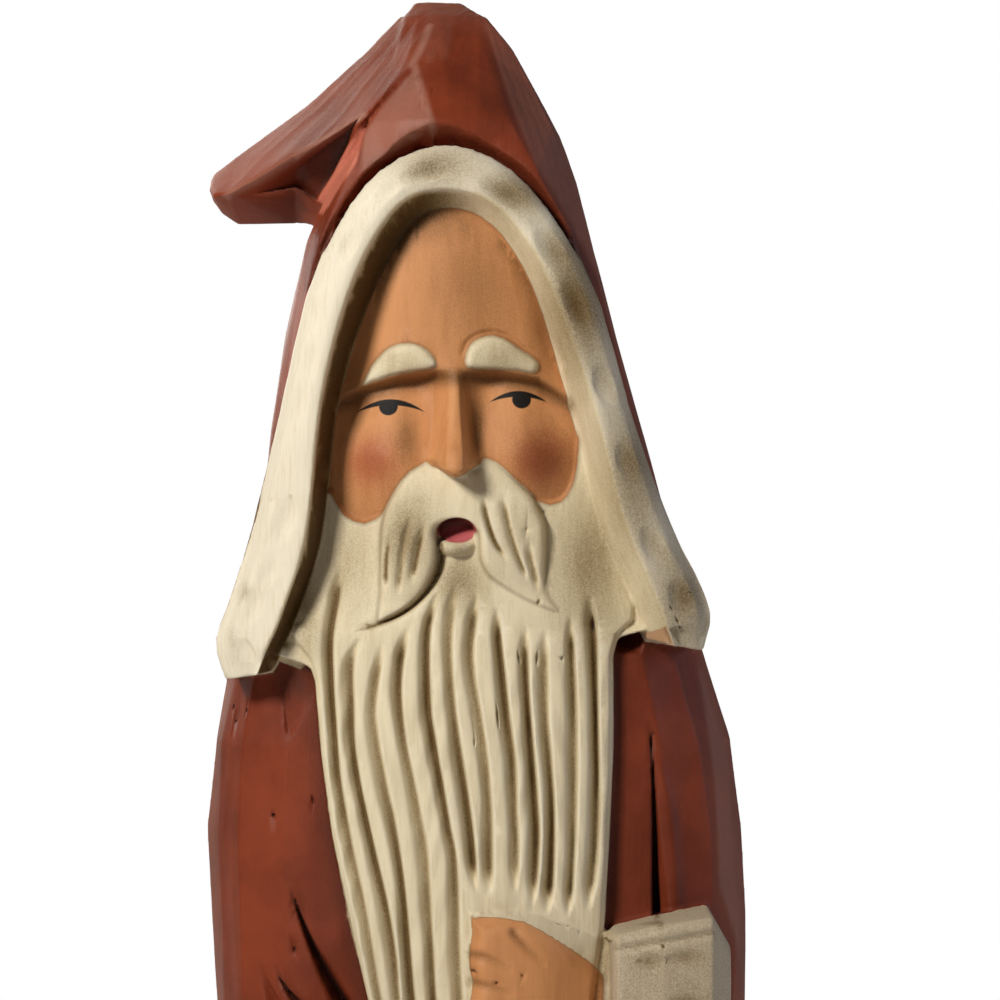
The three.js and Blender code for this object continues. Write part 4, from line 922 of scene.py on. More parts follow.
def bites_round_hem(carved, tree, height, depth, seed):
    """A row of bites round the hem, on the surface that is found from a ring outside it."""
    places, facings = [], []
    for step in range(180):
        angle = 2 * math.pi * (step + 0.5) / 180
        out = Vector((math.cos(angle), math.sin(angle), 0))
        start = Vector((0, 0, BASE_HEIGHT + height * SQUARE)) + out * 0.3
        _, place, normal, _ = carved.ray_cast(start, -out)
        normal = Vector((normal.x, normal.y, 0)).normalized()
        places.append(place + normal * depth * SQUARE)
        facings.append(normal)
    bites = [(1.5 * SQUARE, 0.95 * SQUARE, 2 * depth * SQUARE)] * len(places)
    path = marks_mesh(places, facings, bites, [0.3] * len(places), True)
    return bites_on(path, tree, {"Along Path": True, "Spacing": 0.0135, "Uneven": 0.3, "Seed": seed})


def gouged(mesh):
    """The carving after the gouge has bitten its fur: the photographed bites, and two rows round the hem."""
    carved = put_in_scene("carved", mesh)
    bpy.context.view_layer.update()
    tree = gouge_tree()
    cutters = [bites_in_front(carved, tree)]
    cutters += [bites_round_hem(carved, tree, *row) for row in HEM_BITES]
    knife = put_in_scene("knife", joined(cutters))
    bpy.data.objects.remove(carved)
    result = with_modifier(mesh, "BOOLEAN", operation="DIFFERENCE", object=knife, solver="MANIFOLD")
    bpy.data.objects.remove(knife)
    # The fur is rubbed down afterwards, which leaves the bites soft.
    points = points_of(result)
    x, f, z = to_squares(points)
    on_fur = np.maximum(trim_share(x, z), cuff_share(x, f, z))
    on_fur = np.maximum(on_fur, np.where(z > 0.3, 5.6 - z, -1))
    rubbed = 0.5 * ease((on_fur + 0.1) / 0.3) * ((f > IN_FRONT) | (z <= 40))
    move_points(result, smoothed(points, edges_of(result), 5, rubbed))
    return result


# Half widths of the hood and of the trim behind its edge, by height: both on the right, then on the left.
HOOD_SIDES = [(62.2, 12.2, 12.1, 14.4, 14.1), (64, 12.33, 12.5, 14.41, 14.3),
              (66, 12.23, 12.4, 13.76, 13.6), (68, 11.59, 11.54, 13.07, 12.9),
              (70, 10.74, 10.54, 12.49, 12.29), (72, 10.12, 9.76, 12.13, 11.79),
              (74, 9.56, 9.05, 11.94, 11.33), (78, 8.41, 7.8, 11.41, 10.41), (82, 7.35, 6.68, 10.68, 9.86),
              (86, 6.41, 5.56, 9.82, 9.03)]


SIDE = {"back": 1.8, "front": 7.2, "left_foot": 62.2, "right_foot": 63.6, "top": 86.5}  # where the seam runs


def even_sides(points, edges):
    """The seam between the hood and the trim, filled and rubbed even along both sides."""
    x, f, z = to_squares(points)
    hood, trim = (np.where(x > 0, along([(r[0], r[i]) for r in HOOD_SIDES], z),
                           along([(r[0], r[i + 2]) for r in HOOD_SIDES], z)) for i in (1, 2))
    foot = np.where(x > 0, SIDE["right_foot"], SIDE["left_foot"])
    at_side = (f > SIDE["back"]) & (f < SIDE["front"]) & (z > foot) & (z < SIDE["top"])
    full = mix(hood, trim, np.clip((f - 2) / 5, 0, 1)) - 0.04
    filled = np.sign(x) * np.maximum(np.abs(x), full)
    x = np.where(at_side & (np.abs(x) > trim - 1.6), filled, x)
    rubbed = ease((f - SIDE["back"] + 0.4) / 0.8) * ease((SIDE["front"] + 0.4 - f) / 0.8)
    rubbed = rubbed * ease((z - foot + 0.6) / 0.6) * ease((SIDE["top"] + 1.5 - z) / 2)
    return smoothed(to_metres(x, f, z), edges, 16, 0.7 * rubbed * (np.abs(x) > trim - 0.8))


def carve():
    """The whole carving as one closed skin."""
    blank = joined([blank_from_solid(), mesh_from("relief", *relief_block())])
    skin = with_modifier(blank, "REMESH", mode="VOXEL", voxel_size=VOXEL, adaptivity=0.0)
    points, edges = points_of(skin), edges_of(skin)
    points = even_sides(smoothed(points, edges, 2, 0.6), edges)
    move_points(skin, points)
    normals = normals_of(skin)
    # Points close before the relief settle on it, which sharpens what the voxels left blunt.
    x, f, z = to_squares(points)
    relief = relief_front(x, z)
    on_hand = (hand_share(x, f, z) > -0.1) | (cuff_share(x, f, z) > -0.1)
    near = (relief_share(x, z) > 0.12) & (np.abs(f - relief) < 0.6)
    settle = near & (normals[:, 1] < -0.12) & ~on_hand
    points[settle, 1] = -relief[settle] * SQUARE
    move_points(skin, knife_work(points, normals))
    return gouged(skin)


def simplified(mesh):
    """The mesh with no more triangles than a piece may have."""
    triangles = len(mesh.loops) - 2 * len(mesh.polygons)
    if triangles <= MOST_TRIANGLES:
        return mesh
    return with_modifier(mesh, "DECIMATE", ratio=MOST_TRIANGLES / triangles)


def pitted(points, edges, normals, rounds):
    """How far each point lies under (over 0) or above its smoothed surroundings, in mm."""
    wide = smoothed(points, edges, rounds, 0.5)
    return ((wide - points) * normals).sum(1) * 1000


def cut_share(x, z):
    """How deep a point lies in the strands' cuts, 1 at their floor."""
    beard = v_cuts(BEARD_CUTS, x, z, *BEARD_CUT) / BEARD_CUT[0]
    lobes = v_cuts(MOUSTACHE_CUTS, x, z, *MOUSTACHE_CUT) / MOUSTACHE_CUT[0]
    undercut, share = curve_distance(LOBE_UNDERCUT, 30, x, z)
    return np.maximum.reduce([beard, lobes, np.clip(1 - undercut / 0.3, 0, 1) * ease(share / 0.1)])


# Soft tones in front: x and z of the middle, reach sideways and upwards, in squares, and strength.
ROUGE = [(-5.9, 73.7, 1.9, 1.8, 0.8), (3.45, 73.8, 1.75, 1.8, 0.95), (-4.9, 72, 1.2, 0.9, 0.4),
         (-1.6, 74.6, 0.9, 1.4, 0.3)]
# Brown painted shade where nose, brows, lip, moustache and chin shade the face and beard, and towards the
# right, away from the lamp, with some dirt.
GRIME_AND_SHADE_SPOTS = [(-3.4, 71.7, 1.5, 1, 0.46), (-3.9, 69.6, 2, 3.2, 0.62), (2.2, 70, 2, 3, 0.32),
         (-1.1, 67.2, 2, 2.2, 0.62), (-7.4, 68.4, 2.6, 4.5, 0.46), (-1.25, 68.85, 1.1, 0.45, 0.6),
         (-3.95, 74.9, 0.8, 1.7, 0.55), (0, 75.6, 0.6, 2.3, 0.62), (-0.2, 73.1, 0.9, 0.3, 0.5),
         (6.2, 68, 2.8, 5.5, 0.6), (1.3, 79.4, 2.2, 1.1, 0.5), (-4.2, 79.2, 2.2, 0.9, 0.4),
         (3.7, 82, 1.5, 4.5, 0.48), (-9.4, 65.3, 1.1, 3.2, 0.55), (7, 56, 0.8, 9, 0.3),
         (3.6, 74.2, 2.2, 2.8, 0.48), (0, 83.5, 3.4, 5.5, 0.44), (4.8, 75.5, 1, 2.5, 0.3),
         (-5.6, 73.4, 2.2, 2.4, 0.2)]
# Painted shade on the fur trim, darkest on its right side, away from the lamp.
FUR_GRIME_AND_SHADE = [(-12.8, 66.6, 0.45, 0.45, 0.5), (-13.5, 64.1, 0.35, 0.8, 0.35), (-2, 89.8, 3.4, 1.8, 0.54),
             (2.4, 88.4, 3, 2.2, 0.6), (5.6, 82.5, 3, 6.5, 0.7), (8.5, 73, 3, 6.5, 0.62),
             (11.2, 66.5, 3, 5, 0.58), (-6.5, 86.3, 1.3, 1.6, 0.14)]
# Painted shade on the red: at the hood's front, on the sleeves beside the beard and under the trim's ends.
CLOTH_GRIME_AND_SHADE = [(1.6, 95, 2.2, 5, 0.42), (8.6, 54, 1.6, 12, 0.25), (11, 56, 1.5, 12, 0.22),
               (-8.2, 52, 1.4, 11, 0.3), (-9.8, 61.6, 2, 1.6, 0.6), (8.8, 63.9, 2, 1.4, 0.5)]
# Where the red is paler in front, chalky, and with painted sheen on facets that face the lamps: outline and
# strength.
CHALK_AND_SHEEN_AREAS = [
    ([(-3.5, 95.6), (-2.9, 93.5), (-2.5, 91.6), (-4.3, 90.6), (-6.6, 89.3), (-6.4, 91.8), (-5.4, 93.3),
      (-4.4, 94.6)], 0.48),
    ([(-14.4, 88.6), (-12.4, 89.6), (-9.4, 91.1), (-6.3, 92.7), (-4.6, 94.6), (-2.9, 96.5), (-2.6, 98.6),
      (-4.6, 97.2), (-9, 93.4), (-13.5, 90.2)], 0.2),
    ([(-2.9, 99.6), (-3.6, 96.6), (-2.9, 95.6), (-1.6, 96), (-1.2, 99.8)], 0.2),
    ([(0, 99), (0.7, 96.8), (1.8, 93), (3, 90), (6.5, 84), (9.5, 74), (14, 66), (9, 86), (4, 97)], 0.4),
    ([(12.2, 62.5), (13, 56), (13.3, 50), (16.5, 40), (17, 60)], 0.45),
]
# Painted highlights: the edge where the fold catches the light, and the hood's ridges.
LIT_STRIP = [(-6.2, 92.4), (-7.5, 90.8), (-8.4, 89.4), (-9.5, 88), (-8.6, 87.3), (-7.7, 88.7), (-6.7, 90)]
HIGHLIT_RIDGES = [
    [(-2.75, 98.4), (-3.15, 97), (-3.7, 95.7)],
    [(-3.55, 95.6), (-3, 93.6), (-2.5, 91.9), (-2.6, 91.5)],
    [(-14.2, 88.6), (-12, 89.6), (-9.8, 90.8), (-7.3, 92.2), (-6.3, 92.8)],
]


def spots(places, x, z):
    """How strong the strongest of several soft spots is at each x, z."""
    return np.maximum.reduce([strength * hill(np.hypot((x - cx) / wide, (z - cz) / tall), 1.0)
                              for cx, cz, wide, tall, strength in places])


def from_front(f):
    """1 on the front of the carving, and 0 from its sides to its back, where the paint is plain."""
    return ease((f - 0.5) / 4)


def bitten(bites, x, z):
    """How deep in one of several bites each x, z lies, 1 in its middle."""
    deepest = np.zeros(x.shape)
    for middle_x, middle_z, wide, tall, turn, depth in bites:
        cosine, sine = math.cos(math.radians(turn)), math.sin(math.radians(turn))
        u = ((x - middle_x) * cosine + (z - middle_z) * sine) / wide
        v = ((z - middle_z) * cosine - (x - middle_x) * sine) / tall
        deepest = np.maximum(deepest, min(1, depth / 0.24) * hill(np.hypot(u, v), 0.85))
    return deepest


def wall_share(x, f, z):
    """1 on the trim's inner wall, between its inner edge and the face."""
    band = np.vstack([TRIM_ROWS[:, 0:2], TRIM_ROWS[::-1, 2:4]])
    on_wall = ease((trim_share(x, z) + 0.1) / 0.25) * ease((0.03 - inside_distance(band, x, z)) / 0.12)
    return on_wall * (z > 61.7) * (f > 5.5)


# How thick the brown wash and the brown painted shade lie at most in each kind of place: the crease under the
# brows, the bites and the band beside the beard are painted shade.
WASH_AND_SHADE = {"cuts": 0.85, "crease": 0.66, "over_trim": 0.55, "sleeves": 0.7, "trim_bites": 0.2,
        "cuff_bites": 0.24, "chips": 1.3, "cuffs": 0.5, "lip": 0.6, "fingers": 0.55, "beside_beard": 0.5}


def wash_in_cuts(x, f, z, in_relief):
    """The wash in the strands' cuts, sleeve cuts, finger creases and chips, and under the cuff's lip."""
    strands = WASH_AND_SHADE["cuts"] * np.clip(cut_share(x, z), 0, 1) ** 1.3
    found = [np.where((in_relief > 0) & (f > 5), strands, 0), WASH_AND_SHADE["chips"] * bitten(CHIPS, x, z) * (f > 3)]
    for path, half, _ in SLEEVE_CUTS:
        gap, share = curve_distance(path, 24, x, z)
        found.append(WASH_AND_SHADE["sleeves"] * hill(gap, 1.2 * half * mix(0.3, 1, share)) * (f > IN_FRONT))
    for path, _ in HAND_CREASES:
        gap, share = curve_distance(path, 16, x, z)
        found.append(WASH_AND_SHADE["fingers"] * hill(gap, 0.3) * (1 - 0.6 * share) * (f > 10))
    found.append(WASH_AND_SHADE["lip"] * hill(path_distance(CUFF_LIP, x, z)[0], 0.2) * (f > 11) * (x > 6.5))
    return np.maximum.reduce(found)


def grime_and_shade_share(x, f, z, in_relief, cuffs):
    """How thick the brown wash and painted shade lie: wash in the cuts; painted shade under the brows, on the
    trim's inner wall, over the trim, under the hood's tip, beside the beard and in the bites.
    """
    # Painted shade in a band under the brow shelf.
    under_brows = hill(z - along(BROW_LINE, x) + 0.5, 0.66) * ease((x + 8.6) / 1.2) * ease((6.2 - x) / 1.2)
    soft = np.maximum(spots(GRIME_AND_SHADE_SPOTS, x, z), np.where(z > 74, WASH_AND_SHADE["crease"] * under_brows, 0))
    in_trim = trim_share(x, z)
    soft = np.where((in_relief > -0.4) & (f > 5), soft, 0)
    soft = np.where((in_trim > -0.1) & (f > 8), spots(FUR_GRIME_AND_SHADE, x, z), soft)
    # Painted shade on the trim's inner wall: heavy on the left, which faces away from the lamp, light on the
    # right.
    wall = wall_share(x, f, z) * ease((10.3 - f) / 0.9) * mix(0.97, 0.3, ease((x + 4.2) / 5.0))
    # Brown wash and painted shade in the recess over the trim.
    above_trim = (z > 83) & (f > 5) & (f < 10) & (in_trim < 0)
    over_trim = WASH_AND_SHADE["over_trim"] * hill(np.maximum(0, -in_trim), 0.8) * above_trim
    # Painted shade under the knife edge of the hood's tip.
    notch = ease(inside_distance(HOOD_NOTCH, x, z) / 0.5) * (f > 0) * mix(0.3, 0.6, ease((x + 13) / 4))
    on_cuff = WASH_AND_SHADE["cuffs"] * ease((cuffs + 0.1) / 0.2) * (f > 0)
    # Painted shade on the robe beside the beard's edges.
    beside = np.maximum(along(BEARD_LEFT, z) - x, x - along(BEARD_RIGHT, z))
    beside = WASH_AND_SHADE["beside_beard"] * hill(np.maximum(0, beside), 1.1) * (z < 63.5) * ease((z - 28) / 3)
    cloth = np.maximum(spots(CLOTH_GRIME_AND_SHADE, x, z), beside) * from_front(f)
    cloth = np.where((in_relief < 0.05) & (in_trim < 0.05), cloth, 0)
    areas = [wash_in_cuts(x, f, z, in_relief), soft, wall, over_trim, notch, on_cuff, cloth]
    # Painted shade in the gouge's bites.
    bites = WASH_AND_SHADE["trim_bites"] * bitten(TRIM_BITES, x, z) * (f > 7)
    bites = bites + WASH_AND_SHADE["cuff_bites"] * bitten(CUFF_BITES, x, z) * (f > 9)
    return np.maximum.reduce(areas) + bites


def chalk_and_sheen_share(x, f, z):
    """How pale the red is: painted sheen where it faces up or towards a lamp, and chalk where it has faded.
    """
    chalk_and_sheen = np.zeros(x.shape)
    for outline, strength in CHALK_AND_SHEEN_AREAS:
        chalk_and_sheen = np.maximum(chalk_and_sheen, strength * ease((inside_distance(outline, x, z) + 0.1) / 0.35))
    return mix(0.3, chalk_and_sheen, from_front(f))


FACE_FOOT = 72.2  # above it the skin runs on over the moustache to the nose


def fur_maps(x, f, z, in_relief, on_wall, cuffs):
    """The fur of trim, hem and cuffs: all of it, and the hem alone, which also runs round the back."""
    outer_gap, _ = path_distance(TRIM_ROWS[:, 0:2], x, z)
    inner_gap, _ = path_distance(TRIM_ROWS[:, 2:4], x, z)
    outer_side = f - along(TRIM_FRONT, z) + 1.35 + 6 * ease((outer_gap - inner_gap - 0.3) / 0.5)
    trim = np.minimum(trim_share(x, z) + 0.08, outer_side)
    trim = np.maximum(trim, np.where(in_relief > -0.3, np.clip(on_wall, -3, 0.5), -3.0))
    hem_top = 5.45 + 0.1 * np.sin(x * 1.1) + 0.08 * np.sin(f * 1.7 + 1)
    hem = np.minimum(hem_top - z, z)
    return np.maximum.reduce([trim, hem, cuffs]), hem


def face_maps(x, f, z, in_relief, on_wall):
    """The face's skin, its brows, the moustache and the mouth."""
    brows = [inside_curve(brow, 60, x, z, 1.0) + 0.02 for brow in (LEFT_BROW, RIGHT_BROW)]
    brows = np.maximum.reduce(brows)
    lobes = inside_curve(MOUSTACHE, 180, x, z, 1.5)
    nose_over = np.where(z > FACE_FOOT, face_front(x, z) - along(MOUSTACHE_FRONT, z), -3.0)
    off_lobes = np.maximum(-lobes - 0.03, nose_over)
    face = np.minimum.reduce([skin_share(x, z), -on_wall, in_relief + 0.3, f - 5.5, -brows, off_lobes])
    face = np.where(z > FACE_FOOT, face, np.minimum(face, -lobes))
    mouth = np.minimum.reduce([1 - mouth_reach(x, z), 9.35 - f, f - 5])
    return face, brows, lobes, mouth


def paint_maps(mesh, fine_pits):
    """Where each paint lies, in mm from its edge and over 0 inside, where the wood is worn or dirty, and
    where shade, sheen and highlights are painted.
    """
    points, edges, normals = points_of(mesh), edges_of(mesh), normals_of(mesh)
    x, f, z = to_squares(points)
    in_relief, cuffs = relief_share(x, z), cuff_share(x, f, z)
    on_wall = np.where((z > WALL_END) & (f > 6), trim_wall(x, z) - front(x, z), -3.0)
    fur, hem = fur_maps(x, f, z, in_relief, on_wall, cuffs)
    face, brows, lobes, mouth = face_maps(x, f, z, in_relief, on_wall)
    above_robe = np.where(z < 66, f - robe_front(x, z) - 0.15, 1.0)
    beard = np.minimum.reduce([in_relief + np.where(z < 63, 0.35, 0.1), above_robe, f - 5.0])
    ridges = [curve_distance(ridge, 20, x, z)[0] for ridge in HIGHLIT_RIDGES]
    tongue_right = 0.4 * (x - MOUTH["x"]) / MOUTH["half_width"]
    distances = {
        "fur": np.where(f > 0, fur, hem),
        "hair": np.maximum(beard, np.minimum(brows, f - 5)),
        "skin": np.maximum(face, np.minimum(hand_share(x, f, z), -cuffs)),
        "base": -z,
        "mouth": mouth,
        "lobes": np.where(f > 5, lobes, -3.0),
        "strip": np.minimum(inside_distance(LIT_STRIP, x, z), f - 4),
        "ridge": np.minimum.reduce(ridges) + 9 * MM * (f < 3),
    }
    shares = {
        "tongue": ease(0.62 + tongue_right - 0.6 * (z - MOUTH["z"]) / MOUTH["half_height"]),
        "outlined": 1 - hill(np.hypot((x + 1.2) / 1.7, (z - 73.7) / 0.8), 1.0),
        "grime_and_shade": grime_and_shade_share(x, f, z, in_relief, cuffs),
        # painted light on the trim's right inner wall, which faces the lamp, and a little tan on the cuffs
        "tan": np.maximum(wall_share(x, f, z) * ease((x - 0.5) / 2), 0.12 * ease(cuffs / 0.2) * (f > 0)),
        "chalk_and_sheen": chalk_and_sheen_share(x, f, z),
        "rouge": np.where((z > 70) & (f > 5), spots(ROUGE, x, z), 0),
        "fine_pit": fine_pits,
        # how deep each point lies in broad hollows, for painted shade
        "broad_pit": pitted(points, edges, normals, 60),
    }
    for name, values in {**{name: distance / MM for name, distance in distances.items()}, **shares}.items():
        mesh.attributes.new(name, "FLOAT", "POINT").data.foreach_set("value", values.astype(np.float32))


def pits_from(dense, mesh):
    """How deep each point of the mesh lies in a cut, taken from the nearest point of the denser mesh."""
    points = points_of(dense)
    depths = pitted(points, edges_of(dense), normals_of(dense), 9)
    places = KDTree(len(points))
    for index, point in enumerate(points.tolist()):
        places.insert(point, index)
    places.balance()
    return depths[[places.find(point)[1] for point in points_of(mesh).tolist()]]


dense_mesh = carve()
skin_mesh = simplified(dense_mesh)
skin_mesh.name = "carved_figure"
skin_mesh.materials.clear()
skin_mesh.polygons.foreach_set("material_index", np.zeros(len(skin_mesh.polygons), np.int32))
skin_mesh.polygons.foreach_set("use_smooth", np.ones(len(skin_mesh.polygons), bool))
paint_maps(skin_mesh, pits_from(dense_mesh, skin_mesh))
figure = put_in_scene("carved_figure", skin_mesh)
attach(figure, "root")
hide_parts(FIGURE)


# Basswood carved by knife, sealed, brushed with thin matt acrylics and rubbed with a brown antique wash. The
# eye sees flat chalky colours with brush streaks, a dirty brown line in every cut, and paler edges, partly
# worn and partly painted highlight. Shade is painted in too: brown in hollows, under the brows and on the
# sides away from the lamp, and a paler sheen on the red.
PAINT = {
    "cloth": "#87381b",
    "cloth_dark": "#6b280f",
    # pale red for chalk, painted sheen and painted highlights
    "chalk_and_sheen": "#a87b6a",
    "strip": "#bb6a54",
    # dark brown for dirt and for painted shade on the red
    "dirt_and_shade": "#2a130a",
    "cream": "#e4dac4",
    # darker cream for brush streaks and painted shade in hollows
    "cream_streak_and_shade": "#c2ad84",
    "hair": "#e4d6b6",
    # tan of the lit right inner wall, a painted light, and of the cuffs
    "tan": "#cca380",
    # brown of the antique wash, also laid as painted shade
    "wash_and_shade_brown": "#4c3211",
    "amber": "#968254",
    "skin": "#cd8e5b",
    # brown for brushed streaks on the skin and painted shade in its hollows
    "skin_brown": "#a5683a",
    "rouge": "#a04a2e",
    "base": "#3a2418",
    "bare_wood": "#b98f5e",
    "mouth": "#4a1416",
    "tongue": "#b35456",
    "lid": "#0d0b09",
}
PAINT = {name: linear(code) for name, code in PAINT.items()}

paint = bpy.data.materials.new("antiqued_acrylic_on_basswood")
paint.use_nodes = True
tree = paint.node_tree
tree.nodes.clear()
place = add(tree, "ShaderNodeTexCoord", out="Object")
in_mm = add(tree, "ShaderNodeMapping", {"Vector": place, "Scale": (1000, 1000, 1000)})
map_names = ("fur", "hair", "skin", "base", "mouth", "lobes", "outlined", "tongue", "grime_and_shade", "tan", "chalk_and_sheen",
             "strip", "ridge", "rouge", "fine_pit", "broad_pit")
maps = {name: add(tree, "ShaderNodeAttribute", out="Fac", attribute_name=name) for name in map_names}

# Patterns, each as its repeats a metre sideways and upwards, scale, detail and roughness: fine brush streaks
# 0.7 mm wide and 9 mm long, patches of thicker and thinner paint 20 mm wide, the wash's grain 0.4 mm wide,
# the hand's wobble of a painted edge, up to 0.25 mm, and broad brush streaks 2.4 mm wide and 17 mm long.
noises = {
    "streaks": ((1500, 1500, 110), 1.0, 3.0, 0.5),
    "patches": ((1000, 1000, 1000), 0.045, 4.0, 0.6),
    "speckle": ((1000, 1000, 1000), 2.6, 3.0, 0.7),
    "edges": ((1000, 1000, 1000), 0.5, 2.0, 0.5),
    "brushed": ((420, 420, 60), 1.0, 2.0, 0.5),
}
for name, (scale, fine, detail, rough) in noises.items():
    spread = add(tree, "ShaderNodeMapping", {"Vector": place, "Scale": scale})
    noises[name] = add(tree, "ShaderNodeTexNoise", {"Vector": spread, "Scale": fine, "Detail": detail,
                                                    "Roughness": rough})
wobble = add(tree, "ShaderNodeMath", {0: noises["edges"], 1: 0.5, 2: -0.25}, operation="MULTIPLY_ADD")

# Edges of the painted areas, from maps in mm: (map, half of the softness of its edge in mm).
areas = {"fur": 0.22, "hair": 0.22, "skin": 0.22, "base": 0.22, "mouth": 0.3, "strip": 0.5}
for name, soft in areas.items():
    edge = add(tree, "ShaderNodeMath", {0: maps[name], 1: wobble}, operation="ADD")
    areas[name] = add(tree, "ShaderNodeMapRange", {"Value": edge, "From Min": -soft, "From Max": soft},
                      interpolation_type="SMOOTHSTEP")

# Brown lines along the outlines of the skin and the moustache, wash gathered there and painted shade under
# their edges, fading over 0.85 mm to both sides of it.
lines = None
for name in ("skin", "lobes"):
    near = add(tree, "ShaderNodeMath", {0: maps[name]}, operation="ABSOLUTE")
    line = add(tree, "ShaderNodeMapRange", {"Value": near, "From Min": 0.0, "From Max": 0.85, "To Min": 0.36,
                                            "To Max": 0.0}, interpolation_type="SMOOTHSTEP")
    lines = line if lines is None else add(tree, "ShaderNodeMath", {0: lines, 1: line}, operation="MAXIMUM")
lines = add(tree, "ShaderNodeMath", {0: lines, 1: maps["outlined"]}, operation="MULTIPLY")

# Shares of each tone: (value, low, high, share at low, share at high).
gritty = add(tree, "ShaderNodeMath", {0: noises["speckle"], 1: 0.5, 2: -0.25}, operation="MULTIPLY_ADD")
grime_and_shade_speckled = add(tree, "ShaderNodeMath", {0: maps["grime_and_shade"], 1: gritty}, operation="ADD")
blushing = add(tree, "ShaderNodeMath", {0: maps["rouge"], 1: gritty}, operation="ADD")
chalk_and_sheen_speckled = add(tree, "ShaderNodeMath", {0: maps["chalk_and_sheen"], 1: gritty}, operation="ADD")
tones = {
    # dirt and painted shade
    "grime_and_shade": (grime_and_shade_speckled, 0.02, 1.0, 0.0, 1.0),
    "thick": (grime_and_shade_speckled, 0.4, 1.1, 0.0, 1.0),
    "rouge": (blushing, 0.1, 1.0, 0.0, 0.85),
    # chalk, and painted sheen on facets facing the lamps
    "chalk_and_sheen": (chalk_and_sheen_speckled, 0.0, 1.0, 0.0, 0.95),
    "pit": (maps["fine_pit"], 0.06, 0.4, 0.0, 0.6),
    # painted highlight along the hood's ridges
    "ridge": (maps["ridge"], 0.0, 1.5, 0.5, 0.0),
    # painted shade in broad hollows
    "hollow": (maps["broad_pit"], 0.2, 1.9, 0.0, 0.5),
    # worn edges and painted highlight on the strands' ridges
    "worn_and_highlit": (maps["fine_pit"], -0.05, -0.3, 0.0, 0.75),
    "patch": (noises["patches"], 0.3, 0.72, 0.0, 1.0),
    "streak": (noises["streaks"], 0.45, 0.85, 0.0, 0.35),
    "brushed": (noises["brushed"], 0.4, 0.75, 0.0, 0.28),
}
for name, (value, low, high, at_low, at_high) in tones.items():
    limits = {"Value": value, "From Min": low, "From Max": high, "To Min": at_low, "To Max": at_high}
    tones[name] = add(tree, "ShaderNodeMapRange", limits, interpolation_type="SMOOTHSTEP")

# Each paint is laid in coats: (share, colour) from the first coat up. The amber wash is clear, and stains.
# The grime coats lay dirt and painted shade; on the cloth the chalk and ridge coats are painted sheen and
# highlights; the hollow coats are painted shade; the tan coat is painted light on the trim's right inner
# wall; the worn coat on the hair is wear with painted highlight.
coats = {
    "cloth": [(tones["patch"], "cloth_dark"), (tones["chalk_and_sheen"], "chalk_and_sheen"), (areas["strip"], "strip"),
              (tones["ridge"], "chalk_and_sheen"), (tones["grime_and_shade"], "dirt_and_shade"), (tones["pit"], "dirt_and_shade")],
    "cream": [(tones["hollow"], "cream_streak_and_shade"), (tones["streak"], "cream_streak_and_shade"), (maps["tan"], "tan"),
              (tones["grime_and_shade"], "amber"), (tones["thick"], "wash_and_shade_brown")],
    "hair": [(tones["streak"], "cream_streak_and_shade"), (tones["brushed"], "cream_streak_and_shade"), (tones["worn_and_highlit"], "cream"),
             (tones["grime_and_shade"], "amber"), (tones["thick"], "wash_and_shade_brown")],
    "skin": [(tones["brushed"], "skin_brown"), (tones["hollow"], "skin_brown"), (tones["rouge"], "rouge"),
             (tones["grime_and_shade"], "wash_and_shade_brown")],
}
for name, layers in coats.items():
    laid = PAINT[name]
    for share, over in layers:
        laid = add(tree, "ShaderNodeMix", {0: share, 6: laid, 7: PAINT[over]}, 2, data_type="RGBA",
                   blend_type="MULTIPLY" if over == "amber" else "MIX")
    coats[name] = laid

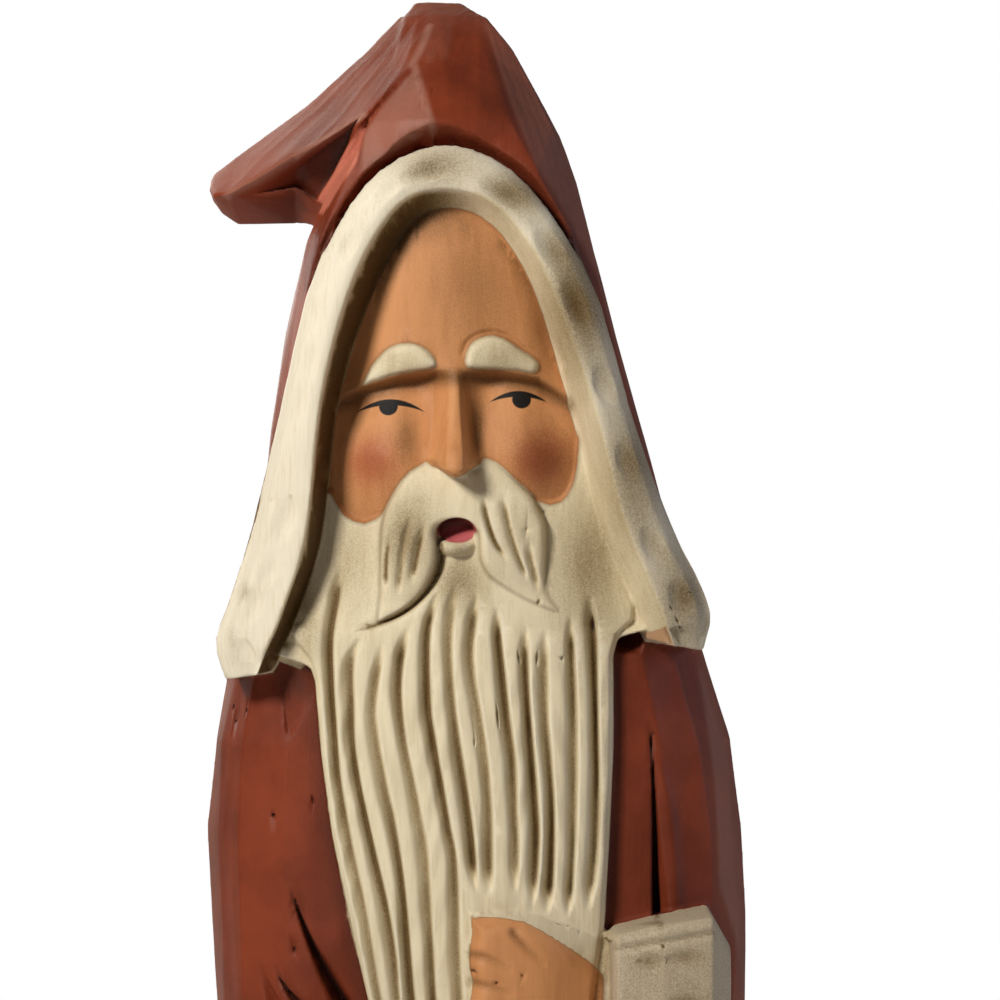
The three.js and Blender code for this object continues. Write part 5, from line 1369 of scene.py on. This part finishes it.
# The eyes: x and z of the middle of the lid's arc, its drop, half length and half thickness, then x and z of
# the iris, its half width and half height.
EYES = [(-4.84, 76.95, 0.15, 1.9, 0.17, -4.95, 76.72, 0.52, 0.5),
        (2.2, 77.41, 0.18, 1.6, 0.165, 2.37, 77.1, 0.52, 0.5)]
across = add(tree, "ShaderNodeSeparateXYZ", {"Vector": in_mm}, "X")
upwards = add(tree, "ShaderNodeSeparateXYZ", {"Vector": in_mm}, "Z")
ink = None
for lid_x, lid_z, drop, reach, thick, iris_x, iris_z, wide, tall in EYES:
    u = add(tree, "ShaderNodeMath", {0: across, 1: MM, 2: -lid_x}, operation="MULTIPLY_ADD")
    high = add(tree, "ShaderNodeMath", {0: upwards, 1: MM, 2: -BASE_HEIGHT / SQUARE - lid_z},
               operation="MULTIPLY_ADD")
    square = add(tree, "ShaderNodeMath", {0: u, 1: 2.0}, operation="POWER")
    above = add(tree, "ShaderNodeMath", {0: square, 1: drop, 2: high}, operation="MULTIPLY_ADD")
    from_lid = add(tree, "ShaderNodeMath", {0: above}, operation="ABSOLUTE")
    half = add(tree, "ShaderNodeMath", {0: square, 1: -thick / reach**2, 2: thick}, operation="MULTIPLY_ADD")
    lid = add(tree, "ShaderNodeMath", {0: half, 1: from_lid}, operation="SUBTRACT")
    beside = add(tree, "ShaderNodeMath", {0: u, 1: 1 / wide, 2: (lid_x - iris_x) / wide},
                 operation="MULTIPLY_ADD")
    below = add(tree, "ShaderNodeMath", {0: high, 1: 1 / tall, 2: (lid_z - iris_z) / tall},
                operation="MULTIPLY_ADD")
    spoke = add(tree, "ShaderNodeCombineXYZ", {"X": beside, "Y": below})
    length = add(tree, "ShaderNodeVectorMath", {0: spoke}, "Value", operation="LENGTH")
    iris = add(tree, "ShaderNodeMath", {0: length, 1: -wide, 2: wide}, operation="MULTIPLY_ADD")
    under_lid = add(tree, "ShaderNodeMath", {0: above, 1: -1.0}, operation="MULTIPLY")
    iris = add(tree, "ShaderNodeMath", {0: iris, 1: under_lid}, operation="MINIMUM")
    eye = add(tree, "ShaderNodeMath", {0: lid, 1: iris}, operation="MAXIMUM")
    ink = eye if ink is None else add(tree, "ShaderNodeMath", {0: ink, 1: eye}, operation="MAXIMUM")
ink = add(tree, "ShaderNodeMapRange", {"Value": ink, "From Min": -0.03, "From Max": 0.03})

throat = add(tree, "ShaderNodeMix", {0: maps["tongue"], 6: PAINT["mouth"], 7: PAINT["tongue"]}, 2,
             data_type="RGBA")
face = add(tree, "ShaderNodeMix", {0: ink, 6: coats["skin"], 7: PAINT["lid"]}, 2, data_type="RGBA")
colour = coats["cloth"]
for share, over in ((areas["fur"], coats["cream"]), (areas["hair"], coats["hair"]), (areas["skin"], face),
                    (areas["mouth"], throat), (areas["base"], PAINT["base"])):
    colour = add(tree, "ShaderNodeMix", {0: share, 6: colour, 7: over}, 2, data_type="RGBA")
colour = add(tree, "ShaderNodeMix", {0: lines, 6: colour, 7: PAINT["wash_and_shade_brown"]}, 2, data_type="RGBA")
# The underside is left bare, up to half a millimetre above the table.
bare = add(tree, "ShaderNodeMapRange", {"Value": upwards, "From Min": 0.3, "From Max": 0.7, "To Min": 1.0,
                                        "To Max": 0.0})
colour = add(tree, "ShaderNodeMix", {0: bare, 6: colour, 7: PAINT["bare_wood"]}, 2, data_type="RGBA")

ridges = add(tree, "ShaderNodeMath", {0: noises["streaks"], 1: 0.5}, operation="MULTIPLY")
bumps = add(tree, "ShaderNodeMath", {0: noises["speckle"], 1: 0.35, 2: ridges}, operation="MULTIPLY_ADD")
bump = add(tree, "ShaderNodeBump", {"Height": bumps, "Distance": 0.00022, "Strength": 0.5})
roughness = add(tree, "ShaderNodeMapRange", {"Value": noises["speckle"], "From Min": 0.3, "From Max": 0.7,
                                             "To Min": 0.5, "To Max": 0.68})
shader = add(tree, "ShaderNodeBsdfPrincipled", {"Base Color": colour, "Roughness": roughness, "Normal": bump,
                                                "Specular IOR Level": 0.28})
add(tree, "ShaderNodeOutputMaterial", {"Surface": shader})
skin_mesh.materials.append(paint)

# The camera stands level, 0.78 m before the figure and at the height of its beard, and sees 16.7 degrees.
camera_data = bpy.data.cameras.new("camera")
camera_data.sensor_width = 36
camera_data.lens = 18 / math.tan(math.radians(16.7) / 2)
camera = put_in_scene("camera", camera_data)
camera.location = (0.00473, -0.780, 0.2983)
camera.rotation_euler = (math.radians(90), 0, 0)
bpy.context.scene.camera = camera


# Soft lamps: place and aim in metres, size in metres, power in watts, and colour.
softboxes = {
    "key": ((-0.34, -0.48, 0.62), (0, -0.02, 0.28), 0.13, 4.1, "#fffcf6"),
    "fill": ((0.3, -1.6, 0.5), (0, 0, 0.25), 1.2, 0.5, "#fff4e6"),
    "window": ((1.5, 0.1, 0.7), (0, 0, 0.3), 0.9, 6, "#dfe6ff"),
    "back": ((-0.5, 1.5, 0.9), (0, 0, 0.2), 1.2, 24, "#fff8ef"),
}
for name, (stand, aim, size, power, tint) in softboxes.items():
    light = bpy.data.lights.new(name, "AREA")
    light.size = size
    light.energy = power
    light.color = linear(tint)[:3]
    lamp = put_in_scene(name, light)
    lamp.location = stand
    lamp.visible_camera = False
    lamp.rotation_euler = (Vector(aim) - Vector(stand)).to_track_quat("-Z", "Y").to_euler()

FLOOR_HALF = 1.2  # metres
floor_corners = FLOOR_HALF * np.array([[-1, -1, 0], [1, -1, 0], [1, 1, 0], [-1, 1, 0]])
floor_mesh = mesh_from("floor", floor_corners, np.array([[0, 1, 2, 3]]))
floor = put_in_scene("floor", floor_mesh)
floor_paint = bpy.data.materials.new("pale_floor")
floor_paint.use_nodes = True
floor_paint.node_tree.nodes["Principled BSDF"].inputs["Base Color"].default_value = linear("#e8e6e2")
floor_mesh.materials.append(floor_paint)
floor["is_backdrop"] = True

# The backdrop is seen white, and lights the figure less than it shows.
world = bpy.data.worlds.new("studio")
bpy.context.scene.world = world
world.use_nodes = True
sky = world.node_tree
sky.nodes.clear()
seen = add(sky, "ShaderNodeBackground", {"Color": (1, 1, 1, 1), "Strength": 1.0})
lighting = add(sky, "ShaderNodeBackground", {"Color": (1, 0.98, 0.95, 1), "Strength": 0.07})
camera_ray = add(sky, "ShaderNodeLightPath", out="Is Camera Ray")
both = add(sky, "ShaderNodeMixShader", {0: camera_ray, 1: lighting, 2: seen})
add(sky, "ShaderNodeOutputWorld", {"Surface": both})
bpy.context.scene.view_settings.view_transform = "Standard"

low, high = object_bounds()
